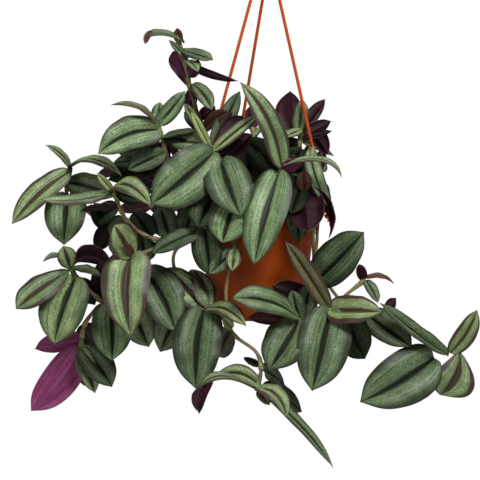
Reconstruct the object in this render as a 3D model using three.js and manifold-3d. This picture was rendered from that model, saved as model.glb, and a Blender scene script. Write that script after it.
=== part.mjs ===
// Potted tradescantia in a hanging pot, with its three cords, their knots and the hook above.
// Millimetres, +Z up, +X to the viewer's right and -Y towards the viewer.
// The origin is the point of the hook that bears on what the pot hangs from.
import * as THREE from 'three';
import { mergeVertices } from 'three/addons/utils/BufferGeometryUtils.js';
import Module from 'manifold-3d';

const wasm = await Module();
wasm.setup();

// Heights are measured from the foot that the pot can stand on.
const POT_HEIGHT = 123;
const RIM_RADIUS = 60;
const BAND_HEIGHT = 38;
const BAND_FOOT_RADIUS = 58.4;
const WALL_TOP_RADIUS = 56.2;
const WALL_FOOT_RADIUS = 46;
const WALL = 2.2;
const RIM_BEAD = 1.4;
const RIM_BEAD_HEIGHT = 4;
const FLOOR = 2.6;
const FLOOR_ROUND = 2;
const FOOT_RING_HEIGHT = 3;
const FOOT_RING_WIDTH = 3.5;
const DRAIN_RADIUS = 4;
const DRAIN_RING_RADIUS = 29;
const DRAIN_COUNT = 4;
const DRAIN_FIRST_ANGLE = 45;
const POT_SIDES = 32;

const SOIL_TOP = 108;
const SOIL_DOME = 3;
const SOIL_SIDES = 16;
const MOUTH_ABOVE_SOIL = 4;
const HOLE_DEPTH = 14;

// The ears, counted clockwise from the viewer's side as seen from above.
const EAR_ANGLES = [85, 206, 296];
const EAR_TOP = 112;
const EAR_THICKNESS = 5;
const EAR_WIDTH = 15;
const EAR_REACH = 77;
const EAR_ROOT = 57.5;
const EAR_HOLE_RADIUS = 70;
const GUSSET_THICKNESS = 2;
const GUSSET_FOOT = 88;

const CORD_RADIUS = 1.3;
const CORD_SIDES = 8;
const CORD_STEPS = 26;
const CORD_HOLE_RADIUS = 1.7;
const HOLE_SIDES = 12;
const KNOT_RADIUS = 3.6;
const KNOT_HEIGHT = 5.6;
const KNOT_SIDES = 10;

// The hook hangs beside the pot's axis, over the weight of the plant.
const HOOK_OFFSET = 11;
const CAP_FOOT = 372;
const CAP_RADIUS = 11;
const CAP_HEIGHT = 15;
const CAP_SHOULDER = 12;
const CAP_SIDES = 16;
const CAP_HOLE_ANGLES = [337, 90, 198];
const CAP_HOLE_RING = 4.3;
const CAP_HOLE_DEPTH = 6;
const CROOK_RADIUS = 9;
const CROOK_THICKNESS = 4.6;
const CROOK_CENTRE = 31;
const CROOK_SIDES = 8;
const CROOK_STEPS = 14;
const CROOK_TURN = 205;
const CROOK_RISE_SHARE = 0.32;

const GAP = 0.3;

const STEM_RADIUS = 1.8;
const STEM_SIDES = 5;
const STEM_STEP = 20;
const STEM_ROOT = 12;
const STEM_HOLE_SIDES = 6;
const LEAF_THICKNESS = 0.7;
const NECK = 3.5;
const NECK_WIDTH = 2.4;
const NARROW_LEAF = 14;
const LONG_LEAF = 72;
const SHORT_LEAF = 28;
const OUTLINE_POWER = 0.75;
const OUTLINE_FULLNESS = 0.8;
const FOLD = 14;

// The photograph's scale, for places measured in its 480 by 480 pixels.
const MM_PER_PX = 1;
const PHOTO_CENTRE = 240;
const POT_AXIS_PX = 257;
const POT_FOOT_PX = 319;
const VIEW_DISTANCE = 1600;

const DEGREE = Math.PI / 180;

// A point of the photograph and how far it lies in front of the pot's axis, as a place by the pot.
function at(pxX, pxY, near) {
  const scale = (MM_PER_PX * (VIEW_DISTANCE - near)) / VIEW_DISTANCE;
  const axisShift = (POT_AXIS_PX - PHOTO_CENTRE) * MM_PER_PX;
  const footDrop = (POT_FOOT_PX - PHOTO_CENTRE) * MM_PER_PX;
  const right = (pxX - PHOTO_CENTRE) * scale - axisShift;
  const up = (PHOTO_CENTRE - pxY) * scale + footDrop;
  return new THREE.Vector3(right, -near, up);
}

// A place by its compass angle and radius about the pot's axis.
function around(angle, radius, height) {
  return new THREE.Vector3(radius * Math.sin(angle * DEGREE), -radius * Math.cos(angle * DEGREE), height);
}

function over(angle) {
  return around(angle, RIM_RADIUS + 2, POT_HEIGHT + 8);
}

function foot(right, near) {
  return new THREE.Vector3(right, -near, SOIL_TOP - STEM_ROOT);
}

// A stem leaves its hole upright.
function outOfSoil(root) {
  const surface = SOIL_TOP + SOIL_DOME;
  return [root, root.clone().setZ(surface), root.clone().setZ(surface + MOUTH_ABOVE_SOIL)];
}

// Solids

function solid(geometry) {
  const bare = geometry.clone();
  bare.deleteAttribute('normal');
  bare.deleteAttribute('uv');
  const merged = mergeVertices(bare, 1e-4);
  const corners = merged.index.array;
  const triangles = [];
  for (let i = 0; i < corners.length; i += 3) {
    const [a, b, c] = corners.slice(i, i + 3);
    if (a !== b && b !== c && c !== a) {
      triangles.push(a, b, c);
    }
  }
  const mesh = new wasm.Mesh({
    numProp: 3,
    vertProperties: new Float32Array(merged.attributes.position.array),
    triVerts: new Uint32Array(triangles),
  });
  return new wasm.Manifold(mesh);
}

function joined(shapes) {
  return shapes.reduce((whole, shape) => whole.add(shape));
}

function geometryOf(shape) {
  const mesh = shape.getMesh();
  const geometry = new THREE.BufferGeometry();
  geometry.setAttribute('position', new THREE.BufferAttribute(mesh.vertProperties, 3));
  geometry.setIndex(new THREE.BufferAttribute(mesh.triVerts, 1));
  geometry.computeVertexNormals();
  return geometry;
}

function node(name, shape, material) {
  const mesh = new THREE.Mesh(geometryOf(shape), material);
  mesh.name = name;
  return mesh;
}

function ring(radius, sides) {
  const points = [];
  for (let i = 0; i < sides; i += 1) {
    const angle = (2 * Math.PI * i) / sides;
    points.push(new THREE.Vector2(radius * Math.cos(angle), radius * Math.sin(angle)));
  }
  return new THREE.Shape(points);
}

function tube(curve, radius, sides, steps) {
  return new THREE.ExtrudeGeometry(ring(radius, sides), {
    steps,
    extrudePath: curve,
    bevelEnabled: false,
  });
}

function rod(start, end, radius, sides) {
  return solid(tube(new THREE.LineCurve3(start, end), radius, sides, 1));
}

// A closed ring of radius and height pairs, turned about the upright axis.
function turned(profile, sides) {
  const points = profile.map(([radius, height]) => new THREE.Vector2(radius, height));
  const geometry = new THREE.LatheGeometry(points, sides);
  geometry.rotateX(Math.PI / 2);
  return solid(geometry);
}

// Pot

function potBody() {
  const bandFoot = POT_HEIGHT - BAND_HEIGHT;
  const inside = FOOT_RING_HEIGHT + FLOOR;
  const bead = POT_HEIGHT - RIM_BEAD_HEIGHT;
  const profile = [
    [0, FOOT_RING_HEIGHT],
    [WALL_FOOT_RADIUS - FOOT_RING_WIDTH, FOOT_RING_HEIGHT],
    [WALL_FOOT_RADIUS - FOOT_RING_WIDTH, 0],
    [WALL_FOOT_RADIUS - 1, 0],
    [WALL_FOOT_RADIUS, 1],
    [WALL_TOP_RADIUS, bandFoot],
    [BAND_FOOT_RADIUS, bandFoot],
    [RIM_RADIUS + 0.8 - RIM_BEAD, bead - 1],
    [RIM_RADIUS + 0.8, bead],
    [RIM_RADIUS + 0.8, POT_HEIGHT],
    [RIM_RADIUS - WALL, POT_HEIGHT],
    [BAND_FOOT_RADIUS - WALL, bandFoot + WALL * 2],
    [WALL_TOP_RADIUS - WALL, bandFoot - 1],
    [WALL_FOOT_RADIUS - WALL, inside + FLOOR_ROUND],
    [WALL_FOOT_RADIUS - WALL - FLOOR_ROUND, inside],
    [0, inside],
  ];
  return turned(profile, POT_SIDES);
}

function drainHole(index) {
  const place = around(DRAIN_FIRST_ANGLE + (360 / DRAIN_COUNT) * index, DRAIN_RING_RADIUS, 0);
  const end = place.clone().setZ(FOOT_RING_HEIGHT + FLOOR * 2);
  return rod(place, end, DRAIN_RADIUS, HOLE_SIDES);
}

// Turns a shape drawn with x along the rim and y outwards to the ear's angle.
function atEar(geometry, angle) {
  geometry.rotateZ((180 + angle) * DEGREE);
  return geometry;
}

function earPlate(angle) {
  const half = EAR_WIDTH / 2;
  const outline = new THREE.Shape();
  outline.moveTo(-half, EAR_ROOT);
  outline.lineTo(half, EAR_ROOT);
  outline.lineTo(half, EAR_REACH - half);
  outline.absarc(0, EAR_REACH - half, half, 0, Math.PI, false);
  outline.closePath();
  const plate = new THREE.ExtrudeGeometry(outline, {
    depth: EAR_THICKNESS,
    curveSegments: 6,
    bevelEnabled: false,
  });
  plate.translate(0, 0, EAR_TOP - EAR_THICKNESS);
  return solid(atEar(plate, angle));
}

// A thin triangular web under each edge of the ear.
function gusset(angle, side) {
  const top = EAR_TOP - EAR_THICKNESS + 1;
  const outline = new THREE.Shape();
  outline.moveTo(EAR_ROOT, GUSSET_FOOT);
  outline.lineTo(EAR_REACH - EAR_WIDTH / 2, top);
  outline.lineTo(EAR_ROOT, top);
  outline.closePath();
  const web = new THREE.ExtrudeGeometry(outline, { depth: GUSSET_THICKNESS, bevelEnabled: false });
  web.rotateX(Math.PI / 2);
  web.rotateZ(Math.PI / 2);
  const inner = side > 0 ? EAR_WIDTH / 2 - GUSSET_THICKNESS : -EAR_WIDTH / 2;
  web.translate(inner, 0, 0);
  return solid(atEar(web, angle));
}

function pot() {
  const ears = EAR_ANGLES.flatMap((angle) => [earPlate(angle), gusset(angle, 1), gusset(angle, -1)]);
  let shape = joined([potBody(), ...ears]);
  for (let i = 0; i < DRAIN_COUNT; i += 1) {
    shape = shape.subtract(drainHole(i));
  }
  for (const angle of EAR_ANGLES) {
    const { low, high } = cordLine(angle);
    const start = low.clone().lerp(high, -0.03);
    const end = low.clone().lerp(high, 0.06);
    shape = shape.subtract(rod(start, end, CORD_HOLE_RADIUS, HOLE_SIDES));
  }
  return shape;
}

// Cords, knots and hook

// A cord's line from under its ear up into its hole in the cap.
function cordLine(angle) {
  const low = around(angle, EAR_HOLE_RADIUS, EAR_TOP - EAR_THICKNESS - 1);
  const capAngle = CAP_HOLE_ANGLES[EAR_ANGLES.indexOf(angle)];
  const high = around(capAngle, CAP_HOLE_RING, CAP_FOOT + CAP_HOLE_DEPTH - GAP);
  high.x += HOOK_OFFSET;
  return { low, high };
}

function cord(angle) {
  const { low, high } = cordLine(angle);
  return solid(tube(new THREE.LineCurve3(low, high), CORD_RADIUS, CORD_SIDES, CORD_STEPS));
}

// The knot's top meets the cord's lower end.
function knot(angle) {
  const half = KNOT_HEIGHT / 2;
  const profile = [
    [0, -half],
    [KNOT_RADIUS * 0.6, -half * 0.85],
    [KNOT_RADIUS, -half * 0.3],
    [KNOT_RADIUS * 0.85, half * 0.2],
    [KNOT_RADIUS, half * 0.55],
    [KNOT_RADIUS * 0.55, half],
    [0, half],
  ];
  const { low, high } = cordLine(angle);
  const along = high.clone().sub(low).normalize();
  const turn = new THREE.Quaternion().setFromUnitVectors(new THREE.Vector3(0, 0, 1), along);
  const points = profile.map(([radius, height]) => new THREE.Vector2(radius, height));
  const geometry = new THREE.LatheGeometry(points, KNOT_SIDES);
  geometry.rotateX(Math.PI / 2);
  geometry.applyQuaternion(turn);
  const centre = low.clone().addScaledVector(along, -half - GAP);
  geometry.translate(centre.x, centre.y, centre.z);
  return solid(geometry);
}

// A question mark's line: up from the cap, out to one side and round over the top.
class CrookLine extends THREE.Curve {
  getPoint(t, target = new THREE.Vector3()) {
    if (t < CROOK_RISE_SHARE) {
      const share = t / CROOK_RISE_SHARE;
      const ease = (1 - Math.cos(Math.PI * share)) / 2;
      const height = THREE.MathUtils.lerp(CAP_SHOULDER, CROOK_CENTRE, share);
      return target.set(CROOK_RADIUS * ease, 0, height);
    }
    const angle = ((t - CROOK_RISE_SHARE) / (1 - CROOK_RISE_SHARE)) * CROOK_TURN * DEGREE;
    return target.set(CROOK_RADIUS * Math.cos(angle), 0, CROOK_CENTRE + CROOK_RADIUS * Math.sin(angle));
  }
}

function hook() {
  const profile = [
    [0, 0],
    [CAP_RADIUS - 0.8, 0],
    [CAP_RADIUS, 0.8],
    [CAP_RADIUS, 4],
    [CAP_RADIUS * 0.86, 8],
    [CAP_RADIUS * 0.5, CAP_SHOULDER],
    [CAP_RADIUS * 0.3, CAP_HEIGHT],
    [0, CAP_HEIGHT],
  ];
  const cap = turned(profile, CAP_SIDES);
  const crook = solid(tube(new CrookLine(), CROOK_THICKNESS / 2, CROOK_SIDES, CROOK_STEPS));
  let shape = cap.add(crook).translate([HOOK_OFFSET, 0, CAP_FOOT]);
  for (const angle of EAR_ANGLES) {
    const { low, high } = cordLine(angle);
    const along = high.clone().sub(low).normalize();
    const start = high.clone().addScaledVector(along, -CAP_HOLE_DEPTH * 2);
    const end = high.clone().addScaledVector(along, GAP);
    shape = shape.subtract(rod(start, end, CORD_HOLE_RADIUS, HOLE_SIDES));
  }
  return shape;
}

// Leaves and stems

// Half of a leaf's outline, broadest at two fifths of its length.
function outline(share) {
  return Math.sin(Math.PI * share ** OUTLINE_POWER) ** OUTLINE_FULLNESS;
}

// A blade from base to tip. face points where its upper side looks, given as right, near and up.
// arch lifts the middle towards that side, fold is each half's lift and twist turns the tip.
function blade({ base, tip, width, face, arch = 0, fold = FOLD, twist = 0 }) {
  const chord = tip.clone().sub(base);
  const length = chord.length();
  const ahead = chord.clone().normalize();
  const [right, near, up] = face;
  const facing = new THREE.Vector3(right, -near, up);
  facing.addScaledVector(ahead, -facing.dot(ahead)).normalize();
  const steps = length > LONG_LEAF ? 4 : length > SHORT_LEAF ? 3 : 2;
  const shares = [0, NECK / length];
  for (let i = 1; i <= steps; i += 1) {
    shares.push(i / steps);
  }
  const rows = shares.map((share, i) => {
    const middle = base.clone().addScaledVector(chord, share);
    middle.addScaledVector(facing, 4 * arch * share * (1 - share));
    const slope = (4 * arch * (1 - 2 * share)) / length;
    const tangent = ahead.clone().addScaledVector(facing, slope).normalize();
    const normal = facing.clone().addScaledVector(tangent, -facing.dot(tangent)).normalize();
    normal.applyAxisAngle(tangent, twist * share * DEGREE);
    const side = tangent.clone().cross(normal);
    const half = i < 2 ? NECK_WIDTH / 2 : (width / 2) * outline(share);
    const across = width < NARROW_LEAF ? [-half, half] : [-half, 0, half];
    const offsets = share === 1 ? [0] : across;
    return offsets.map((offset) => {
      const point = middle.clone().addScaledVector(side, offset * Math.cos(fold * DEGREE));
      point.addScaledVector(normal, Math.abs(offset) * Math.sin(fold * DEGREE));
      return { upper: point, lower: point.clone().addScaledVector(normal, -LEAF_THICKNESS) };
    });
  });
  return solid(closedSheet(rows));
}

// A thin closed body from rows of paired points, ending in a row of one. Both faces are split alike.
function closedSheet(rows) {
  const pairs = rows.flat();
  const columns = rows[0].length;
  const below = pairs.length;
  const triangles = [];
  const rim = (a, b) => triangles.push([a, b, below + b], [a, below + b, below + a]);
  const face = (a, b, c) => triangles.push([a, b, c], [below + a, below + c, below + b]);
  rows.slice(1).forEach((row, i) => {
    const start = i * columns;
    const next = start + columns;
    const pointed = row.length === 1;
    for (let k = 0; k < columns - 1; k += 1) {
      if (pointed) {
        face(start + k, start + k + 1, next);
      } else {
        face(start + k, start + k + 1, next + k + 1);
        face(start + k, next + k + 1, next + k);
      }
    }
    rim(start, next);
    rim(pointed ? next : next + columns - 1, start + columns - 1);
  });
  for (let k = 0; k < columns - 1; k += 1) {
    rim(k + 1, k);
  }
  const geometry = new THREE.BufferGeometry();
  geometry.setFromPoints([...pairs.map((pair) => pair.upper), ...pairs.map((pair) => pair.lower)]);
  geometry.setIndex(triangles.flat());
  return geometry;
}

// A stem's line is cut into steps of about one length that stop at each of its points.
class StemLine extends THREE.CatmullRomCurve3 {
  constructor(points) {
    super(points, false, 'centripetal');
    const spans = points.length - 1;
    this.stops = [0];
    for (let i = 0; i < spans; i += 1) {
      const steps = Math.max(1, Math.round(points[i].distanceTo(points[i + 1]) / STEM_STEP));
      for (let k = 1; k <= steps; k += 1) {
        this.stops.push((i + k / steps) / spans);
      }
    }
  }

  stopAt(u) {
    return this.stops[Math.round(u * (this.stops.length - 1))];
  }

  getPointAt(u, target) {
    return this.getPoint(this.stopAt(u), target);
  }

  getTangentAt(u, target) {
    return this.getTangent(this.stopAt(u), target);
  }
}

function stemTube(points) {
  const line = new StemLine(points);
  return solid(tube(line, STEM_RADIUS, STEM_SIDES, line.stops.length - 1));
}

function leafyStem({ root, route, shoots = [], leaves }) {
  const tubes = [stemTube([...outOfSoil(root), ...route]), ...shoots.map((shoot) => stemTube(shoot))];
  return joined([...tubes, ...leaves.map(blade)]);
}

const LEAFY_STEMS = [
  {
    name: 'leafy_stem_left_high',
    root: foot(-38, 4),
    route: [over(278), at(152, 234, -14), at(110, 227, -12), at(90, 213, -10), at(68, 197, -6),
      at(70, 168, 10)],
    leaves: [
      { base: at(70, 170, 10), tip: at(11, 223, 34), width: 28, face: [-0.2, 1, 0.4], arch: 8 },
      { base: at(70, 168, 10), tip: at(46, 145, 22), width: 11, face: [0.3, 1, 0.6], arch: 3 },
      { base: at(70, 168, 10), tip: at(122, 176, 40), width: 20, face: [0, 0.55, 1], arch: 14 },
      { base: at(69, 182, 2), tip: at(113, 193, 24), width: 26, face: [0, 1, 0.7], arch: 5 },
      { base: at(68, 196, -6), tip: at(64, 244, 38), width: 42, face: [0, 1, 0.1], arch: 5 },
      { base: at(108, 226, -12), tip: at(97, 251, -18), width: 20, face: [0, -1, 0.3] },
    ],
  },
  {
    name: 'leafy_stem_left_middle',
    root: foot(-26, 28),
    route: [over(316), at(200, 222, 52), at(175, 238, 54), at(152, 238, 56), at(128, 222, 60),
      at(113, 191, 62)],
    leaves: [
      { base: at(114, 193, 62), tip: at(40, 201, 72), width: 24, face: [0, 0.25, 1], arch: -4 },
      { base: at(113, 192, 62), tip: at(97, 173, 70), width: 9, face: [-0.3, 1, 0.3] },
      { base: at(119, 208, 61), tip: at(80, 211, 56), width: 22, face: [0, -0.3, 1] },
      { base: at(113, 192, 62), tip: at(151, 206, 88), width: 26, face: [0, 0.8, 0.8], arch: 15 },
    ],
  },
  {
    name: 'leafy_stem_left_big',
    root: foot(-45, 8),
    route: [over(284), at(186, 216, 24), at(160, 244, 44), at(134, 257, 60)],
    leaves: [
      { base: at(134, 256, 60), tip: at(118, 225, 80), width: 35, face: [0, 1, 0.2], fold: 8 },
      { base: at(134, 256, 60), tip: at(122, 242, 80), width: 9, face: [0, 1, 0.4] },
      { base: at(133, 256, 60), tip: at(131, 337, 90), width: 50, face: [0, 1, 0.3], arch: 6 },
    ],
  },
  {
    name: 'leafy_stem_left_low',
    root: foot(-47, -3),
    route: [over(268), at(182, 228, 4), at(160, 262, 28), at(150, 272, 36), at(126, 295, 34), at(104, 303, 32),
      at(96, 309, 32), at(84, 326, 32), at(81, 349, 32)],
    shoots: [[at(104, 303, 32), at(90, 291, 32), at(77, 278, 32), at(70, 267, 32)]],
    leaves: [
      { base: at(70, 268, 32), tip: at(40, 264, 42), width: 9, face: [-0.2, 0.5, 1], arch: 6 },
      { base: at(70, 268, 32), tip: at(60, 264, 64), width: 20, face: [0, 0.2, 1], arch: 12 },
      { base: at(69, 269, 32), tip: at(15, 308, 58), width: 28, face: [-0.2, 1, 0.5], arch: 7 },
      { base: at(76, 277, 32), tip: at(54, 344, 46), width: 47, face: [-0.1, 1, 0.2], arch: 5 },
      { base: at(72, 270, 32), tip: at(101, 277, 40), width: 20, face: [0, 0.35, 1], arch: 3 },
      { base: at(72, 270, 32), tip: at(114, 268, 8), width: 26, face: [0, -0.8, 0.7], arch: 14 },
      { base: at(78, 280, 32), tip: at(95, 305, 16), width: 22, face: [0, -1, 0.2] },
      { base: at(81, 338, 32), tip: at(35, 349, 24), width: 24, face: [-0.1, -1, 0.5] },
      { base: at(81, 347, 32), tip: at(31, 411, 44), width: 36, face: [0.2, -1, 0.3], arch: 4 },
      { base: at(81, 348, 32), tip: at(95, 393, 48), width: 24, face: [0.1, 1, 0.3], fold: 28 },
      { base: at(82, 348, 32), tip: at(109, 388, 54), width: 31, face: [0.3, 1, 0.3] },
      { base: at(102, 304, 32), tip: at(110, 361, 66), width: 42, face: [0, 1, 0.3], arch: 3 },
      { base: at(84, 326, 32), tip: at(100, 351, 12), width: 30, face: [0.2, -1, 0.3] },
      { base: at(81, 348, 32), tip: at(84, 386, 16), width: 16, face: [0, 1, 0.2] },
      { base: at(150, 272, 36), tip: at(176, 332, 66), width: 47, face: [0.1, 1, 0.3], arch: 7 },
      { base: at(126, 295, 34), tip: at(146, 338, 34), width: 30, face: [0, 1, 0.3] },
    ],
  },
  {
    name: 'leafy_stem_front_left',
    root: foot(-12, 36),
    route: [over(324), at(205, 226, 58), at(190, 241, 58), at(176, 250, 52), at(174, 267, 44), at(187, 292, 48),
      at(207, 311, 60)],
    leaves: [
      { base: at(206, 310, 60), tip: at(164, 268, 22), width: 30, face: [0.1, 1, 0.4], arch: 3 },
      { base: at(206, 310, 60), tip: at(192, 269, 46), width: 26, face: [0.6, 1, 0.4], arch: 6 },
      { base: at(207, 310, 60), tip: at(246, 326, 92), width: 20, face: [0, 1, 0.9], arch: 8 },
      { base: at(205, 310, 60), tip: at(196, 389, 92), width: 47, face: [0, 1, 0.25], arch: 6 },
      { base: at(188, 293, 48), tip: at(159, 352, 42), width: 31, face: [0, 1, 0.5] },
      { base: at(205, 226, 58), tip: at(206, 275, 74), width: 30, face: [-0.1, 1, 0.2], arch: 3 },
      { base: at(216, 200, 52), tip: at(197, 229, 76), width: 32, face: [-0.1, 1, 0.3] },
      { base: at(200, 232, 58), tip: at(152, 254, 76), width: 24, face: [0, 0.9, 0.8], arch: 3 },
    ],
  },
  {
    name: 'leafy_stem_front',
    root: foot(-2, 42),
    route: [over(342), at(230, 222, 66), at(235, 249, 68), at(229, 272, 68), at(226, 296, 68), at(233, 330, 72),
      at(258, 350, 74), at(261, 366, 76), at(257, 391, 80)],
    leaves: [
      { base: at(234, 209, 64), tip: at(220, 242, 76), width: 36, face: [0, 1, 0.5], arch: 3 },
      { base: at(235, 249, 68), tip: at(232, 271, 80), width: 18, face: [0, 1, 0.2], fold: 25 },
      { base: at(235, 250, 68), tip: at(209, 274, 74), width: 20, face: [-0.1, 1, 0.3] },
      { base: at(233, 331, 72), tip: at(220, 357, 44), width: 32, face: [-0.2, -1, 0.2] },
      { base: at(232, 328, 72), tip: at(222, 318, 84), width: 13, face: [0, 1, 0.5] },
      { base: at(257, 390, 80), tip: at(199, 414, 92), width: 25, face: [-0.3, 0.6, 1], arch: 30, twist: 60 },
      { base: at(257, 390, 80), tip: at(287, 418, 98), width: 24, face: [0.3, 0.8, 1], arch: 12 },
      { base: at(260, 370, 77), tip: at(283, 386, 56), width: 22, face: [0.3, 0.6, 1] },
      { base: at(258, 390, 80), tip: at(333, 467, 72), width: 21, face: [0.5, 1, 0.6], arch: 5, fold: 24 },
      { base: at(258, 389, 79), tip: at(298, 414, 60), width: 20, face: [0.4, 1, 0.6] },
      { base: at(260, 368, 76), tip: at(244, 357, 58), width: 11, face: [0, 0.5, 1] },
    ],
  },
  {
    name: 'leafy_stem_right_low',
    root: foot(32, 15),
    route: [over(62), at(313, 230, 38), at(314, 262, 42), at(315, 285, 46), at(312, 302, 52), at(297, 323, 60)],
    shoots: [[at(315, 285, 46), at(320, 298, 52), at(330, 310, 56), at(346, 295, 50), at(365, 280, 44)]],
    leaves: [
      { base: at(315, 284, 46), tip: at(362, 231, 62), width: 44, face: [-0.2, 1, 0.4], arch: 4 },
      { base: at(329, 309, 56), tip: at(285, 241, 76), width: 24, face: [-0.4, 0.8, 0.8], fold: 30 },
      { base: at(331, 309, 56), tip: at(382, 311, 84), width: 32, face: [0, 1, 0.6], arch: 5 },
      { base: at(330, 310, 56), tip: at(312, 391, 88), width: 54, face: [0.1, 1, 0.3], arch: 7 },
      { base: at(298, 322, 60), tip: at(268, 370, 82), width: 40, face: [-0.2, 1, 0.4], arch: 5 },
      { base: at(299, 320, 59), tip: at(233, 297, 90), width: 25, face: [-0.1, 0.9, 0.9], arch: 10 },
      { base: at(307, 307, 55), tip: at(271, 290, 60), width: 15, face: [-0.3, -1, 0.5] },
      { base: at(299, 320, 59), tip: at(292, 290, 72), width: 20, face: [0, 1, 0.2] },
      { base: at(302, 316, 58), tip: at(312, 282, 60), width: 24, face: [0, 1, 0.3] },
      { base: at(297, 322, 60), tip: at(258, 320, 62), width: 17, face: [0, 0.2, 1], arch: 2 },
      { base: at(331, 309, 56), tip: at(364, 359, 42), width: 34, face: [0.2, 1, 0.3] },
      { base: at(364, 281, 44), tip: at(394, 284, 38), width: 9, face: [0, 0.6, 1], arch: 6 },
      { base: at(364, 281, 44), tip: at(359, 264, 50), width: 11, face: [0, -1, 0.3] },
      { base: at(364, 281, 44), tip: at(373, 303, 60), width: 14, face: [0.2, 1, 0.4], arch: 2 },
    ],
  },
  {
    name: 'leafy_stem_right_far',
    root: foot(44, 2),
    route: [over(98), at(324, 235, -6), at(326, 265, -4), at(332, 290, -2), at(350, 308, 2), at(380, 311, 6),
      at(415, 333, 14), at(449, 353, 20)],
    leaves: [
      { base: at(366, 310, 4), tip: at(413, 346, 34), width: 28, face: [0.1, 1, 0.6], arch: 3 },
      { base: at(448, 354, 20), tip: at(380, 305, 38), width: 22, face: [0, 0.6, 1], fold: 26 },
      { base: at(448, 353, 20), tip: at(477, 310, 28), width: 22, face: [0.2, 1, 0.3] },
      { base: at(449, 353, 20), tip: at(452, 402, 52), width: 40, face: [0.3, 1, 0.5], arch: 9 },
      { base: at(446, 352, 20), tip: at(360, 402, 48), width: 51, face: [-0.1, 1, 0.5], arch: 6 },
      { base: at(386, 314, 7), tip: at(396, 298, -12), width: 14, face: [0, -1, 0.3] },
    ],
  },
  {
    name: 'leafy_stem_centre_right',
    root: foot(19, 36),
    route: [at(281, 190, 46), at(281, 166, 52)],
    leaves: [
      { base: at(281, 169, 52), tip: at(240, 82, 56), width: 28, face: [-0.1, 1, 0.2], arch: -5 },
      { base: at(281, 169, 52), tip: at(302, 161, 46), width: 9, face: [0, -1, 0.3] },
      { base: at(281, 168, 52), tip: at(341, 180, 74), width: 12, face: [0, 0.6, 1], arch: 12 },
      { base: at(281, 174, 50), tip: at(254, 265, 86), width: 50, face: [0, 1, 0.35], arch: 10 },
    ],
  },
  {
    name: 'leafy_stem_centre',
    root: foot(-18, 24),
    route: [at(226, 188, 36), at(220, 161, 48), at(210, 146, 50)],
    leaves: [
      { base: at(220, 162, 48), tip: at(243, 219, 80), width: 38, face: [0.2, 1, 0.3], arch: 4 },
      { base: at(210, 149, 50), tip: at(151, 204, 76), width: 46, face: [-0.2, 1, 0.5], arch: 8 },
      { base: at(210, 148, 50), tip: at(191, 111, 50), width: 10, face: [0, 1, 0.2] },
      { base: at(213, 151, 50), tip: at(258, 115, 44), width: 14, face: [0.2, 1, 0.4], arch: 4 },
      { base: at(210, 149, 50), tip: at(172, 138, 36), width: 17, face: [-0.2, 0.7, 0.8] },
      { base: at(211, 148, 50), tip: at(232, 112, 42), width: 15, face: [0.2, -1, 0.3] },
      { base: at(212, 149, 50), tip: at(243, 118, 36), width: 17, face: [0.2, -1, 0.5] },
      { base: at(211, 147, 50), tip: at(240, 90, 34), width: 18, face: [0.2, 1, 0.3] },
      { base: at(217, 156, 50), tip: at(247, 144, 26), width: 24, face: [0, -1, 0.5] },
    ],
  },
  {
    name: 'leafy_stem_upper_left',
    root: foot(-32, 16),
    route: [at(190, 182, 24), at(168, 160, 34), at(163, 140, 38), at(157, 124, 40)],
    leaves: [
      { base: at(157, 126, 40), tip: at(111, 104, 48), width: 12, face: [-0.2, 0.6, 1], arch: 11 },
      { base: at(157, 125, 40), tip: at(185, 91, 46), width: 22, face: [0.3, 1, 0.2] },
      { base: at(157, 124, 40), tip: at(158, 103, 46), width: 9, face: [0, 1, 0.2] },
      { base: at(158, 127, 40), tip: at(98, 154, 66), width: 39, face: [-0.1, 0.9, 0.8], arch: 12 },
      { base: at(163, 139, 38), tip: at(197, 131, 48), width: 18, face: [0, 0.35, 1] },
      { base: at(166, 152, 36), tip: at(128, 170, 40), width: 26, face: [0, 1, 0.6] },
      { base: at(164, 144, 37), tip: at(160, 168, 20), width: 17, face: [0, -1, 0.3] },
      { base: at(168, 160, 34), tip: at(112, 164, 22), width: 24, face: [0, 1, 0.6], arch: 3 },
    ],
  },
  {
    name: 'leafy_stem_upright',
    root: foot(-14, 2),
    route: [at(214, 172, 6), at(203, 130, 12), at(194, 102, 14), at(189, 84, 14), at(186, 66, 14),
      at(178, 40, 14)],
    leaves: [
      { base: at(180, 42, 14), tip: at(144, 43, 26), width: 13, face: [-0.2, 0.7, 1], arch: 13 },
      { base: at(179, 42, 14), tip: at(176, 27, 20), width: 11, face: [0, -1, 0.3] },
      { base: at(184, 60, 14), tip: at(168, 40, 24), width: 12, face: [-0.2, 1, 0.2] },
      { base: at(185, 62, 14), tip: at(198, 72, 38), width: 15, face: [0.2, 0.7, 1], arch: 3 },
      { base: at(179, 46, 14), tip: at(212, 59, 30), width: 17, face: [0.2, 1, 0.7], arch: 2 },
      { base: at(190, 88, 14), tip: at(173, 51, 6), width: 20, face: [-0.2, -1, 0.2] },
      { base: at(194, 101, 14), tip: at(187, 118, 2), width: 14, face: [0, -1, 0.3] },
      { base: at(187, 67, 14), tip: at(238, 81, 34), width: 15, face: [0, -0.7, 1] },
      { base: at(190, 86, 14), tip: at(210, 110, 34), width: 22, face: [0.2, 1, 0.3] },
      { base: at(204, 133, 12), tip: at(184, 103, 24), width: 12, face: [0, 1, 0.2] },
      { base: at(214, 172, 6), tip: at(246, 172, 12), width: 30, face: [0, 0.2, 1], arch: 4 },
    ],
  },
  {
    name: 'leafy_stem_right_high',
    root: foot(34, -10),
    route: [at(300, 180, -6), at(299, 156, -4), at(301, 126, -3)],
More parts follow.
